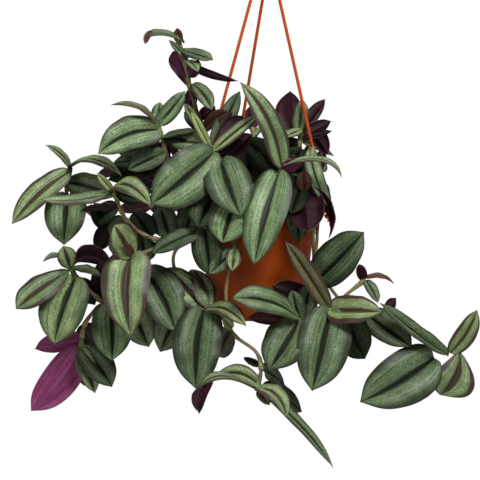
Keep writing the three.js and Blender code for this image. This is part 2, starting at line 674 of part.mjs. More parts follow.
    leaves: [
      { base: at(301, 132, -3), tip: at(286, 90, -16), width: 29, face: [-0.2, -1, 0.2] },
      { base: at(301, 132, -3), tip: at(294, 100, -4), width: 15, face: [-0.2, 1, 0.2] },
      { base: at(300, 135, -3), tip: at(284, 138, 14), width: 13, face: [-0.2, 1, 0.5] },
      { base: at(301, 130, -3), tip: at(325, 99, -16), width: 15, face: [0.2, -1, 0.3] },
      { base: at(300, 138, -3), tip: at(331, 121, -6), width: 17, face: [0.2, -1, 0.6] },
      { base: at(300, 146, -4), tip: at(329, 156, -12), width: 16, face: [0.2, -1, 0.4] },
      { base: at(300, 143, -3), tip: at(332, 138, -24), width: 17, face: [0.3, 1, 0.5] },
      { base: at(299, 154, -4), tip: at(334, 160, -32), width: 17, face: [0.3, 1, 0.5] },
      { base: at(299, 150, -4), tip: at(295, 164, 16), width: 19, face: [0, 1, 0.3] },
      { base: at(300, 180, -6), tip: at(268, 178, -4), width: 32, face: [-0.2, 0.2, 1], arch: 4 },
    ],
  },
  {
    name: 'leafy_stem_right_middle',
    root: foot(29, 28),
    route: [at(294, 190, 34), at(303, 184, 46), at(310, 166, 38), at(313, 147, 30)],
    leaves: [
      { base: at(303, 184, 46), tip: at(305, 168, 56), width: 15, face: [0, 1, 0.2] },
      { base: at(303, 185, 47), tip: at(308, 233, 84), width: 34, face: [0.1, -1, 0.2], fold: 6 },
      { base: at(303, 184, 46), tip: at(331, 238, 58), width: 9, face: [1, 0.3, 0.7], arch: 9 },
      { base: at(309, 169, 39), tip: at(332, 206, 46), width: 10, face: [0.4, 1, 0.3] },
      { base: at(313, 149, 30), tip: at(326, 198, 56), width: 22, face: [0.3, 1, 0.3], arch: 3 },
      { base: at(302, 184, 46), tip: at(286, 240, 78), width: 16, face: [-0.1, 1, 0.2] },
    ],
  },
  {
    name: 'leafy_stem_back',
    root: foot(-6, -38),
    route: [over(190), at(240, 230, -76), at(236, 262, -86), at(244, 296, -88)],
    leaves: [
      { base: at(243, 216, -72), tip: at(222, 250, -98), width: 34, face: [-0.3, -1, 0.4], arch: 4 },
      { base: at(239, 236, -79), tip: at(272, 266, -104), width: 34, face: [0.2, -1, 0.4], arch: 4 },
      { base: at(236, 262, -86), tip: at(224, 303, -104), width: 32, face: [-0.2, -1, 0.4], arch: 4 },
      { base: at(241, 284, -88), tip: at(268, 312, -104), width: 32, face: [0.2, -1, 0.4] },
      { base: at(244, 295, -88), tip: at(243, 318, -110), width: 24, face: [0, -1, 0.5] },
    ],
  },
  {
    name: 'leafy_stem_back_right',
    root: foot(20, -34),
    route: [over(160), at(277, 226, -80), at(284, 252, -98), at(281, 282, -112)],
    leaves: [
      { base: at(275, 206, -70), tip: at(300, 226, -104), width: 32, face: [0.4, -1, 0.5], arch: 4 },
      { base: at(279, 232, -86), tip: at(258, 258, -124), width: 32, face: [-0.3, -1, 0.5], arch: 4 },
      { base: at(284, 252, -98), tip: at(303, 284, -124), width: 32, face: [0.3, -1, 0.4], arch: 4 },
      { base: at(283, 270, -106), tip: at(266, 300, -134), width: 30, face: [-0.2, -1, 0.4] },
      { base: at(281, 281, -112), tip: at(285, 310, -128), width: 24, face: [0, -1, 0.4] },
    ],
  },
  {
    name: 'leafy_stem_back_left',
    root: foot(-24, -30),
    route: [over(224), at(196, 182, -76), at(166, 190, -106), at(150, 206, -118)],
    leaves: [
      { base: at(196, 182, -76), tip: at(172, 158, -100), width: 30, face: [0, -0.4, 1], arch: 3 },
      { base: at(184, 184, -88), tip: at(182, 216, -124), width: 34, face: [0, -1, 0.7], arch: 3 },
      { base: at(167, 190, -105), tip: at(136, 174, -124), width: 32, face: [-0.2, -0.5, 1], arch: 3 },
      { base: at(157, 198, -112), tip: at(166, 220, -146), width: 30, face: [0.2, -1, 0.8] },
      { base: at(150, 206, -118), tip: at(120, 212, -136), width: 28, face: [-0.3, -0.8, 1] },
    ],
  },
  {
    name: 'leafy_stem_side_left',
    root: foot(-42, -16),
    route: [over(250), at(180, 174, -42), at(150, 160, -60), at(124, 166, -70)],
    leaves: [
      { base: at(178, 173, -43), tip: at(164, 140, -62), width: 30, face: [0, -0.6, 1], arch: 3 },
      { base: at(164, 165, -53), tip: at(176, 200, -84), width: 32, face: [0, -1, 1], arch: 3 },
      { base: at(150, 160, -60), tip: at(124, 138, -80), width: 30, face: [-0.2, -0.6, 1], arch: 3 },
      { base: at(138, 161, -65), tip: at(138, 196, -90), width: 32, face: [-0.2, -1, 0.8], arch: 3 },
      { base: at(124, 166, -70), tip: at(97, 180, -80), width: 26, face: [-0.4, -0.4, 1] },
      { base: at(192, 180, -30), tip: at(226, 180, -12), width: 36, face: [0, 0.2, 1], arch: 3 },
    ],
  },
  {
    name: 'leafy_stem_side_right',
    root: foot(38, -25),
    route: [over(120), at(312, 180, -42), at(318, 174, -76)],
    leaves: [
      { base: at(312, 180, -42), tip: at(322, 148, -54), width: 22, face: [0.6, -0.6, 0.5] },
      { base: at(314, 178, -52), tip: at(322, 214, -82), width: 26, face: [0.6, -1, 0.6], arch: 3 },
      { base: at(317, 175, -66), tip: at(292, 196, -98), width: 28, face: [0, -1, 0.8], arch: 3 },
      { base: at(318, 174, -75), tip: at(315, 150, -112), width: 24, face: [0.2, -0.4, 1] },
    ],
  },
  {
    name: 'leafy_stem_back_upright',
    root: foot(4, -20),
    route: [at(262, 182, -38), at(258, 154, -56), at(252, 128, -68)],
    leaves: [
      { base: at(262, 180, -39), tip: at(240, 164, -78), width: 26, face: [-0.2, -0.6, 1], arch: 4 },
      { base: at(260, 164, -50), tip: at(288, 152, -78), width: 26, face: [0.3, -0.6, 1], arch: 4 },
      { base: at(258, 152, -56), tip: at(244, 150, -100), width: 24, face: [-0.2, -0.6, 1], arch: 4 },
      { base: at(255, 140, -62), tip: at(274, 122, -86), width: 24, face: [0.3, -0.6, 1], arch: 3 },
      { base: at(252, 128, -68), tip: at(250, 106, -84), width: 18, face: [0, -1, 0.5] },
      { base: at(263, 187, -34), tip: at(232, 184, -30), width: 34, face: [-0.2, 0, 1], arch: 4 },
      { base: at(263, 184, -36), tip: at(294, 180, -26), width: 32, face: [0.2, 0.1, 1], arch: 4 },
    ],
  },
];

const terracottaPlastic = new THREE.MeshStandardMaterial({ color: 0x9a5226, roughness: 0.5, metalness: 0 });
const darkSoil = new THREE.MeshStandardMaterial({ color: 0x2e221a, roughness: 1, metalness: 0 });
const orangeBraid = new THREE.MeshStandardMaterial({ color: 0xc05a1e, roughness: 0.9, metalness: 0 });
const silverGreen = new THREE.MeshStandardMaterial({ color: 0x7d9478, roughness: 0.45, metalness: 0 });

function soil() {
  const bandFoot = POT_HEIGHT - BAND_HEIGHT;
  const bottom = FOOT_RING_HEIGHT + FLOOR + GAP;
  const profile = [
    [0, bottom],
    [WALL_FOOT_RADIUS - WALL - FLOOR_ROUND - GAP, bottom],
    [WALL_FOOT_RADIUS - WALL - GAP, bottom + FLOOR_ROUND],
    [WALL_TOP_RADIUS - WALL - GAP, bandFoot - 1],
    [BAND_FOOT_RADIUS - WALL - GAP, bandFoot + WALL * 2],
    [BAND_FOOT_RADIUS - WALL + GAP, SOIL_TOP],
    [BAND_FOOT_RADIUS * 0.6, SOIL_TOP + SOIL_DOME],
    [0, SOIL_TOP + SOIL_DOME],
  ];
  let shape = turned(profile, SOIL_SIDES);
  for (const { root } of LEAFY_STEMS) {
    const floor = root.clone().setZ(SOIL_TOP - HOLE_DEPTH);
    const mouth = root.clone().setZ(SOIL_TOP + SOIL_DOME + 1);
    shape = shape.subtract(rod(floor, mouth, STEM_RADIUS + 2 * GAP, STEM_HOLE_SIDES));
  }
  return shape;
}

const hanging = new THREE.Group();
hanging.position.set(-HOOK_OFFSET, 0, -(CAP_FOOT + CROOK_CENTRE + CROOK_RADIUS - CROOK_THICKNESS / 2));
hanging.add(node('pot', pot(), terracottaPlastic));
hanging.add(node('soil', soil(), darkSoil));
hanging.add(node('hook', hook(), terracottaPlastic));
EAR_ANGLES.forEach((angle, index) => {
  hanging.add(node(`cord_${index + 1}`, cord(angle), orangeBraid));
  hanging.add(node(`knot_${index + 1}`, knot(angle), orangeBraid));
});
for (const stem of LEAFY_STEMS) {
  hanging.add(node(stem.name, leafyStem(stem), silverGreen));
}

const tradescantia = new THREE.Group();
tradescantia.add(hanging);
tradescantia.updateMatrixWorld(true);

export default tradescantia;
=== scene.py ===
# Potted tradescantia in a plastic hanging pot on three braided cords. Metres, +Z up.
# The pieces follow in the order in which the plant is hung, potted and grown.
import math
import random

import bpy
import numpy as np
from mathutils import Matrix, Vector


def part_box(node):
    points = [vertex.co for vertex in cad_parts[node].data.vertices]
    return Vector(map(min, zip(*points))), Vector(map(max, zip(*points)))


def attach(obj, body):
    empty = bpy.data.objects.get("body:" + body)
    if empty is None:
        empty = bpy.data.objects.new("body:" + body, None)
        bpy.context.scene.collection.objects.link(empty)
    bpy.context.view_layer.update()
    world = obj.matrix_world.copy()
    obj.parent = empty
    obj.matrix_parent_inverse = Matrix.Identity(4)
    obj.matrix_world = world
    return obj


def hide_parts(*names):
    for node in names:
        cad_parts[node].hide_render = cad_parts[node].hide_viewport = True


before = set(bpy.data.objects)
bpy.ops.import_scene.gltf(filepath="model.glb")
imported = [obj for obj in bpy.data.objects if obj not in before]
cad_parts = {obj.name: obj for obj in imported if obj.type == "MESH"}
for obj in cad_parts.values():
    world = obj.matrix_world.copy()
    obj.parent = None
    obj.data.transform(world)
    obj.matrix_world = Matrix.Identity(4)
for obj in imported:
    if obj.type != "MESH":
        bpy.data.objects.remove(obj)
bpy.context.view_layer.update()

# Camera
# It looks level and straight ahead, as the photograph was taken, from 1.6 m in front of the pot.
# One pixel of the 480 covers one millimetre in the plane of the pot's axis.
VIEW_DISTANCE = 1.6
PHOTO_SIZE = 480
PHOTO_CENTRE = PHOTO_SIZE / 2
POT_AXIS_PX = 257
POT_FOOT_PX = 319
METRE_PER_PX = 0.001
SENSOR = 36

soil_low, soil_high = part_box("soil")
POT_AXIS = (soil_low[0] + soil_high[0]) / 2
POT_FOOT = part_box("pot")[0][2]


def at(px, py, near):
    """A point of the photograph, in pixels, and how far it lies in front of the pot's axis, in mm."""
    scale = METRE_PER_PX * (1 - near / 1000 / VIEW_DISTANCE)
    right = (px - PHOTO_CENTRE) * scale - (POT_AXIS_PX - PHOTO_CENTRE) * METRE_PER_PX
    up = (PHOTO_CENTRE - py) * scale + (POT_FOOT_PX - PHOTO_CENTRE) * METRE_PER_PX
    return Vector((POT_AXIS + right, -near / 1000, POT_FOOT + up))


def pick(*pieces):
    """Selects these pieces and nothing else, with the first one active."""
    bpy.ops.object.select_all(action="DESELECT")
    for piece in reversed(pieces):
        piece.select_set(True)
        bpy.context.view_layer.objects.active = piece


pick()
photo_middle = at(PHOTO_CENTRE, PHOTO_CENTRE, 0)
eye = photo_middle - Vector((0, VIEW_DISTANCE, 0))
bpy.ops.object.camera_add(location=eye, rotation=(math.pi / 2, 0, 0))
camera = bpy.context.object
camera.data.sensor_width = SENSOR
camera.data.lens = SENSOR * VIEW_DISTANCE / (PHOTO_SIZE * METRE_PER_PX)
bpy.context.scene.camera = camera

# Cords
# Three braided polypropylene cords, one to each ear, pulled straight by the pot's weight. Eight
# strands cross over and under each other round the cord. Each ends in a knot below its ear and in
# the hook above.
EAR_ANGLES = (85, 206, 296)
EAR_HOLE_RADIUS = 0.07
CORD_LOW = 0.106
CORD_HIGH = 0.3777
CAP_HOLE_ANGLES = (337, 90, 198)
CAP_HOLE_RING = 0.0043
HOOK_OFFSET = 0.011
CORD_LENGTH = 0.28
STRANDS = 4
STRAND_TURN = 0.012
STRAND_RELIEF = 0.00036
RIDGE_RADIUS = 0.00168
CORD_SIDES = 24
CORD_RINGS = 560


def around(angle, radius, height):
    """A place by its angle, radius and height about the pot's axis, counted from its foot."""
    turn = math.radians(angle)
    offset = Vector((radius * math.sin(turn), -radius * math.cos(turn), height))
    return offset + Vector((POT_AXIS, 0, POT_FOOT))


def edit(action, **settings):
    """Runs one edit-mode operator on all of the active mesh."""
    bpy.ops.object.mode_set(mode="EDIT")
    bpy.ops.mesh.select_all(action="SELECT")
    action(**settings)
    bpy.ops.object.mode_set(mode="OBJECT")


def points_of(piece):
    """The x, y and z of all the points of a mesh."""
    flat = np.empty(len(piece.data.vertices) * 3)
    piece.data.vertices.foreach_get("co", flat)
    return flat[0::3], flat[1::3], flat[2::3]


def braid_height(turn, along):
    """How far the strands stand out, from 0 in a groove to 1 on a ridge."""
    rising = STRANDS * (turn + 2 * np.pi * along / STRAND_TURN)
    falling = STRANDS * (turn - 2 * np.pi * along / STRAND_TURN)
    one = np.sqrt((1 + np.cos(rising)) / 2) * (0.75 + 0.25 * np.cos(falling))
    other = np.sqrt((1 + np.cos(falling)) / 2) * (0.75 - 0.25 * np.cos(rising))
    return np.maximum(one, other)


def braided_cord(name, low, high):
    """Wraps a flat grid round the line from low to high and raises its strands."""
    pick()
    bpy.ops.mesh.primitive_grid_add(
        x_subdivisions=CORD_SIDES, y_subdivisions=CORD_RINGS, size=1, calc_uvs=True
    )
    cord = bpy.context.object
    cord.name = name
    x, y, _ = points_of(cord)
    turn = (x + 0.5) * 2 * np.pi
    run = high - low
    along = (y + 0.5) * run.length
    radius = RIDGE_RADIUS - STRAND_RELIEF * (1 - braid_height(turn, along))
    ahead = run.normalized()
    side = ahead.cross(Vector((0, 1, 0))).normalized()
    across = ahead.cross(side)
    ring = np.outer(radius * np.cos(turn), side) + np.outer(radius * np.sin(turn), across)
    points = ring + np.outer(along, ahead) + np.array(low)
    cord.data.vertices.foreach_set("co", points.ravel())
    edit(bpy.ops.mesh.remove_doubles, threshold=0.00001)
    edit(bpy.ops.mesh.fill_holes, sides=0)
    bpy.ops.object.shade_smooth()
    return cord


def colour(red, green, blue):
    """A screen colour as the linear values that a shader takes."""
    shares = [value / 255 for value in (red, green, blue)]
    linear = [value / 12.92 if value <= 0.04045 else ((value + 0.055) / 1.055) ** 2.4 for value in shares]
    return (*linear, 1)


def put(tree, kind, sockets=None, **settings):
    """Adds a shader node. A socket is given a value, or another node's output to follow."""
    made = tree.nodes.new(kind)
    for key, value in settings.items():
        setattr(made, key, value)
    for key, value in (sockets or {}).items():
        if isinstance(value, bpy.types.NodeSocket):
            tree.links.new(value, made.inputs[key])
        else:
            made.inputs[key].default_value = value
    return made


def lead(output, target):
    """Leads a node's output to a socket of the same material or group."""
    output.id_data.links.new(output, target)


def maths(operation, first, second=0.5, third=0.5):
    """The result of one sum, whose first number is a socket."""
    sockets = {0: first, 1: second, 2: third}
    return put(first.id_data, "ShaderNodeMath", sockets, operation=operation).outputs[0]


def blended(share, first, second):
    """Two colours mixed by the share in a socket."""
    sockets = {0: share, 6: first, 7: second}
    return put(share.id_data, "ShaderNodeMix", sockets, data_type="RGBA").outputs[2]


def ramp(value, low, high, bottom=0.0, top=1.0):
    """A socket's value taken smoothly from one range to another."""
    sockets = {0: value, 1: low, 2: high, 3: bottom, 4: top}
    smooth = {"interpolation_type": "SMOOTHSTEP"}
    return put(value.id_data, "ShaderNodeMapRange", sockets, **smooth).outputs[0]


def noise(vector, scale, detail=2.0, roughness=0.5):
    """A cloudy value from 0 to 1."""
    sockets = {"Vector": vector, "Scale": scale, "Detail": detail, "Roughness": roughness}
    return put(vector.id_data, "ShaderNodeTexNoise", sockets).outputs["Fac"]


def stretched(vector, sizes):
    """A place with its three directions scaled apart, so that a pattern is drawn out."""
    sockets = {"Vector": vector, "Scale": sizes}
    return put(vector.id_data, "ShaderNodeMapping", sockets).outputs[0]


def apart(vector):
    """The three numbers of a place."""
    return put(vector.id_data, "ShaderNodeSeparateXYZ", {0: vector}).outputs


def finish_of(name, roughness, specular=0.5):
    """A new material, the sockets of its surface shader, and the places for its patterns."""
    made = bpy.data.materials.new(name)
    made.use_nodes = True
    surface = made.node_tree.nodes["Principled BSDF"].inputs
    surface["Roughness"].default_value = roughness
    surface["Specular IOR Level"].default_value = specular
    return made, surface, put(made.node_tree, "ShaderNodeTexCoord").outputs


def relief(surface, height, distance, strength=1.0):
    """Lights a surface as if a height stood out by up to a distance."""
    sockets = {"Height": height, "Distance": distance, "Strength": strength}
    lead(put(height.id_data, "ShaderNodeBump", sockets).outputs[0], surface["Normal"])


def braid_finish():
    """Orange fibre, with painted shade darker down in the grooves, and fine threads along each strand."""
    made, surface, places = finish_of("orange braid", 0.75, 0.2)
    across, along, _ = apart(places["UV"])
    ridges = []
    for turns in (CORD_LENGTH / STRAND_TURN, -CORD_LENGTH / STRAND_TURN):
        strand = maths("ADD", across, maths("MULTIPLY", along, turns))
        ridges.append(maths("COSINE", maths("MULTIPLY", strand, STRANDS * 2 * math.pi)))
    height = ramp(maths("MAXIMUM", *ridges), -0.4, 0.9)
    fibre = noise(stretched(places["Object"], (4000, 4000, 500)), 1.0)
    bright = blended(fibre, colour(206, 72, 6), colour(240, 104, 24))
    # Painted shade: the colour turns dark brown down in the grooves between the strands.
    lead(blended(height, colour(92, 22, 0), bright), surface["Base Color"])
    relief(surface, fibre, 0.0001, 0.5)
    return made


def coat(piece, *finishes):
    """Gives a piece its finishes, in the order of its material slots."""
    piece.data.materials.clear()
    for finish in finishes:
        piece.data.materials.append(finish)


def hang(piece, node):
    """Hangs a finished piece with the rest of the plant, in place of a node."""
    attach(piece, "root")
    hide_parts(node)


braid = braid_finish()
cords = []
for number, (ear_angle, cap_angle) in enumerate(zip(EAR_ANGLES, CAP_HOLE_ANGLES), start=1):
    low = around(ear_angle, EAR_HOLE_RADIUS, CORD_LOW)
    high = around(cap_angle, CAP_HOLE_RING, CORD_HIGH) + Vector((HOOK_OFFSET, 0, 0))
    cord = braided_cord(f"braided_cord_{number}", low, high)
    coat(cord, braid)
    hang(cord, f"cord_{number}")
    cords.append((cord, low, high))

# Pot
# A tapered cup with a tall rim band, injection-moulded in one piece from terracotta-coloured
# polypropylene. Three ears on the band hold the cords. Four holes drain its floor, and it can stand
# on the ring under it.
POT_HEIGHT = 0.123
RIM_RADIUS = 0.0608
RIM_BEAD_HEIGHT = 0.004
RIM_BEAD = 0.0014
BAND_FOOT = 0.085
BAND_FOOT_RADIUS = 0.0584
WALL_TOP_RADIUS = 0.0562
WALL_FOOT_RADIUS = 0.046
WALL = 0.0022
RIM_LIP = 0.0008
FLOOR_TOP = 0.0056
FOOT_RING_HEIGHT = 0.003
FOOT_RING_WIDTH = 0.0035
CHAMFER = 0.001
DRAIN_RADIUS = 0.004
DRAIN_RING_RADIUS = 0.029
DRAIN_ANGLES = (45, 135, 225, 315)
DRAIN_BORE = (-0.004, 0.01)
EAR_BORE_SHARE = 0.04
TURNED_STEPS = 96
EAR_TOP = 0.112
EAR_THICKNESS = 0.005
EAR_ROUND = 0.0075
EAR_ROUND_CENTRE = 0.0695
EAR_ROOT = 0.0575
CORD_HOLE_RADIUS = 0.0017
EAR_CORNERS = 32
GUSSET_FOOT = 0.088
GUSSET_THICKNESS = 0.002
GUSSET_INSET = 0.0002
GUSSET_EDGE = 0.0005


def modify(piece, kind, **settings):
    """Adds one modifier to a piece and applies it."""
    pick(piece)
    modifier = piece.modifiers.new(kind.lower(), kind)
    for key, value in settings.items():
        setattr(modifier, key, value)
    bpy.ops.object.modifier_apply(modifier=modifier.name)


def cut(piece, tool, operation="DIFFERENCE"):
    """Cuts a tool out of a piece, or joins it on, and takes the tool away."""
    modify(piece, "BOOLEAN", object=tool, operation=operation, solver="EXACT")
    bpy.data.objects.remove(tool)


def turned(name, profile, centre):
    """Spins a closed outline of radius and height pairs round an upright axis."""
    pick()
    bpy.ops.mesh.primitive_circle_add(vertices=len(profile))
    piece = bpy.context.object
    piece.name = name
    for vertex, (radius, height) in zip(piece.data.vertices, profile):
        vertex.co = centre + Vector((radius, 0, height))
    edit(bpy.ops.mesh.spin, steps=TURNED_STEPS, angle=2 * math.pi, center=centre, axis=(0, 0, 1))
    edit(bpy.ops.mesh.remove_doubles, threshold=0.000005)
    edit(bpy.ops.mesh.dissolve_degenerate, threshold=0.000001)
    edit(bpy.ops.mesh.normals_make_consistent)
    return piece


def pot_wall():
    """The cup with its band, rim bead, floor and foot ring."""
    ring = WALL_FOOT_RADIUS - FOOT_RING_WIDTH
    bead = POT_HEIGHT - RIM_BEAD_HEIGHT
    profile = [
        (0, FOOT_RING_HEIGHT),
        (ring, FOOT_RING_HEIGHT),
        (ring, 0),
        (WALL_FOOT_RADIUS - CHAMFER, 0),
        (WALL_FOOT_RADIUS, CHAMFER),
        (WALL_TOP_RADIUS, BAND_FOOT),
        (BAND_FOOT_RADIUS, BAND_FOOT),
        (RIM_RADIUS - RIM_BEAD, bead - CHAMFER),
        (RIM_RADIUS, bead),
        (RIM_RADIUS, POT_HEIGHT),
        (RIM_RADIUS - WALL - RIM_LIP, POT_HEIGHT),
        (BAND_FOOT_RADIUS - WALL, BAND_FOOT + 2 * WALL),
        (WALL_TOP_RADIUS - WALL, BAND_FOOT - CHAMFER),
        (WALL_FOOT_RADIUS - WALL, FLOOR_TOP + 2 * CHAMFER),
        (WALL_FOOT_RADIUS - WALL - 2 * CHAMFER, FLOOR_TOP),
        (0, FLOOR_TOP),
    ]
    return turned("moulded_pot", profile, Vector((POT_AXIS, 0, POT_FOOT)))


def ear(angle):
    """A flat lug with a round end, and a thin web under each edge."""
    pick()
    bpy.ops.mesh.primitive_circle_add(vertices=EAR_CORNERS, radius=EAR_ROUND, fill_type="NGON")
    lug = bpy.context.object
    for vertex in lug.data.vertices:
        inward = vertex.co.y < -0.0001
        vertex.co.y = EAR_ROOT if inward else EAR_ROUND_CENTRE + vertex.co.y
        vertex.co.z = EAR_TOP
    modify(lug, "SOLIDIFY", thickness=EAR_THICKNESS, offset=-1)
    edit(bpy.ops.mesh.normals_make_consistent)
    for side in (1, -1):
        pick()
        bpy.ops.mesh.primitive_cube_add(size=1)
        web = bpy.context.object
        inner = side * (EAR_ROUND - GUSSET_THICKNESS / 2 - GUSSET_INSET)
        top = EAR_TOP - EAR_THICKNESS / 2
        for vertex in web.data.vertices:
            out, high = vertex.co.y > 0, vertex.co.z > 0
            vertex.co.x = inner + vertex.co.x * GUSSET_THICKNESS
            vertex.co.y = EAR_ROUND_CENTRE if out else EAR_ROOT
            vertex.co.z = top if high else (top - GUSSET_EDGE if out else GUSSET_FOOT)
        cut(lug, web, "UNION")
    lug.data.transform(Matrix.Rotation(math.radians(180 + angle), 4, "Z"))
    lug.data.transform(Matrix.Translation((POT_AXIS, 0, POT_FOOT)))
    return lug


def drill(piece, start, end, radius):
    """Bores a round hole through a piece from one point to another."""
    pick()
    run = end - start
    bpy.ops.mesh.primitive_cylinder_add(vertices=32, radius=radius, depth=run.length)
    bit = bpy.context.object
    tilt = Vector((0, 0, 1)).rotation_difference(run).to_matrix().to_4x4()
    bit.data.transform(Matrix.Translation(start.lerp(end, 0.5)) @ tilt)
    cut(piece, bit)


def smoothed(piece, angle):
    """Shades a piece smooth, except at edges that turn by more than an angle."""
    pick(piece)
    bpy.ops.object.shade_smooth_by_angle(angle=math.radians(angle))


def plastic_finish():
    """Satin terracotta plastic: faintly clouded, with a fine grain and dust towards its foot."""
    made, surface, places = finish_of("terracotta plastic", 0.42, 0.2)
    place = places["Object"]
    clouds = noise(place, 40.0, 3.0)
    streaks = noise(stretched(place, (900, 900, 60)), 1.0, 3.0)
    grain = noise(place, 1800.0, 2.0)
    body = blended(clouds, colour(144, 58, 2), colour(160, 66, 3))
    worn = blended(ramp(streaks, 0.45, 0.8, 0.0, 0.3), body, colour(174, 82, 18))
    dust = ramp(apart(place)[2], POT_FOOT + 0.035, POT_FOOT - 0.005, 0.0, 0.4)
    dusty = maths("MULTIPLY", dust, ramp(clouds, 0.35, 0.65))
    lead(blended(dusty, worn, colour(142, 88, 44)), surface["Base Color"])
    lead(ramp(streaks, 0.2, 0.8, 0.36, 0.52), surface["Roughness"])
    relief(surface, maths("ADD", grain, maths("MULTIPLY", clouds, 2.0)), 0.00006)
    return made


plastic = plastic_finish()
pot = pot_wall()
for angle in EAR_ANGLES:
    cut(pot, ear(angle), "UNION")
for angle in DRAIN_ANGLES:
    below, above = (around(angle, DRAIN_RING_RADIUS, height) for height in DRAIN_BORE)
    drill(pot, below, above, DRAIN_RADIUS)
for _, low, high in cords:
    drill(pot, low, low.lerp(high, EAR_BORE_SHARE), CORD_HOLE_RADIUS)
smoothed(pot, 30)
coat(pot, plastic)
hang(pot, "pot")

# Soil
# Dark, moist potting mix that fills the pot to 15 mm under its rim. It is crumbly on top, with bits
# of bark and a few white grains of perlite, and it takes the pot's shape below.
SOIL_TOP = 0.108
SOIL_DOME = 0.003
SOIL_LUMPS = 0.0009
SOIL_RADIUS = 0.0565
SOIL_FOOT_RADIUS = 0.0415
SOIL_FOOT = FLOOR_TOP + 0.0004
SOIL_CELLS = 70
CRUMBS = 420
CRUMB_SIZES = (0.0008, 0.0026)
CRUMB_SPREAD = 0.95
PERLITE_SHARE = 0.1


def soil_body():
    """A round bed with an uneven top, drawn in towards the pot's floor."""
    pick()
    bpy.ops.mesh.primitive_grid_add(x_subdivisions=SOIL_CELLS, y_subdivisions=SOIL_CELLS, size=2)
    bed = bpy.context.object
    bed.name = "potting_soil"
    lumps = random.Random(11)
    for vertex in bed.data.vertices:
        x, y, _ = vertex.co
        out = Vector((x * math.sqrt(1 - y * y / 2), y * math.sqrt(1 - x * x / 2), 0))
        rise = SOIL_DOME * (1 - out.length**2) + lumps.uniform(-SOIL_LUMPS, SOIL_LUMPS)
        vertex.co = Vector((POT_AXIS, 0, POT_FOOT + SOIL_TOP + rise)) + out * SOIL_RADIUS
    bpy.ops.object.mode_set(mode="EDIT")
    bpy.ops.mesh.select_all(action="DESELECT")
    bpy.ops.mesh.select_non_manifold()
    bpy.ops.mesh.extrude_region_move(TRANSFORM_OT_translate={"value": (0, 0, -0.1)})
    bpy.ops.object.mode_set(mode="OBJECT")
    for vertex in bed.data.vertices:
        if vertex.select:
            vertex.co.x = POT_AXIS + (vertex.co.x - POT_AXIS) * SOIL_FOOT_RADIUS / SOIL_RADIUS
            vertex.co.y *= SOIL_FOOT_RADIUS / SOIL_RADIUS
            vertex.co.z = POT_FOOT + SOIL_FOOT
    bpy.ops.object.mode_set(mode="EDIT")
    bpy.ops.mesh.edge_face_add()
    bpy.ops.object.mode_set(mode="OBJECT")
    edit(bpy.ops.mesh.normals_make_consistent)
    return bed


def copy_of(piece):
    """A copy with its own mesh."""
    copy = piece.copy()
    copy.data = piece.data.copy()
    bpy.context.collection.objects.link(copy)
    return copy


def crumb(chance, shape):
    """One crumb of bark or grain of perlite, lying half sunk in the top."""
    lump = copy_of(shape)
    size = chance.uniform(*CRUMB_SIZES)
    out = SOIL_RADIUS * CRUMB_SPREAD * math.sqrt(chance.random())
    rise = SOIL_TOP + SOIL_DOME * (1 - (out / SOIL_RADIUS) ** 2)
    turn = Matrix.Rotation(chance.uniform(0, 6.28), 4, (chance.random(), chance.random(), 0.3))
    stretch = Matrix.Diagonal((chance.uniform(0.7, 1.9), 1, chance.uniform(0.5, 1), 1))
    place = Matrix.Translation(around(chance.uniform(0, 360), out, rise))
    lump.data.transform(place @ turn @ stretch @ Matrix.Scale(size, 4))
    return lump


def joined(*pieces):
    """Several pieces made one, which keeps the first one's name."""
    pick(*pieces)
    bpy.ops.object.join()
    return pieces[0]


def soil_finish():
    """Brown-black crumbs, paler where they have dried."""
    made, surface, places = finish_of("potting mix", 0.95, 0.2)
    coarse = noise(places["Object"], 260.0, 6.0, 0.7)
    fine = noise(places["Object"], 1500.0, 4.0, 0.7)
    dark = blended(ramp(coarse, 0.35, 0.7), colour(28, 20, 15), colour(74, 54, 38))
    dried = blended(ramp(fine, 0.55, 0.8), dark, colour(112, 86, 60))
    lead(dried, surface["Base Color"])
    relief(surface, maths("ADD", coarse, fine), 0.0012)
    return made


def perlite_finish():
    """Chalky white grains."""
    made, surface, places = finish_of("perlite", 0.9)
    pits = noise(places["Object"], 1200.0, 3.0)
    lead(blended(pits, colour(150, 145, 132), colour(232, 228, 216)), surface["Base Color"])
    relief(surface, pits, 0.0003)
    return made


bed = soil_body()
mix, perlite = soil_finish(), perlite_finish()
coat(bed, mix)
bpy.ops.mesh.primitive_ico_sphere_add(subdivisions=1, radius=1)
grain_shape = bpy.context.object
chance = random.Random(7)
crumbs = [crumb(chance, grain_shape) for _ in range(CRUMBS)]
bpy.data.objects.remove(grain_shape)
for lump in crumbs:
    coat(lump, perlite if chance.random() < PERLITE_SHARE else mix)
hang(joined(bed, *crumbs), "soil")

# Hook
# A moulded cap of the same plastic as the pot holds the three cord ends in its foot. It runs up into
# an open crook that hangs on a ceiling hook.
CAP_FOOT = 0.372
CAP_RADIUS = 0.011
CAP_HEIGHT = 0.015
CAP_SHOULDER = 0.012
CROOK_RADIUS = 0.009
CROOK_THICKNESS = 0.0046
CROOK_CENTRE = 0.031
CROOK_TURN = 205
CROOK_STEPS = 60
CROOK_RISE_SHARE = 0.32
CROOK_END = [0.0021, 0.0017, 0.0009]
CORD_END_GAP = 0.0003
CORD_END_BORE = 0.02
EDGE_EASE = 0.0003
EDGE_ANGLE = math.radians(40)


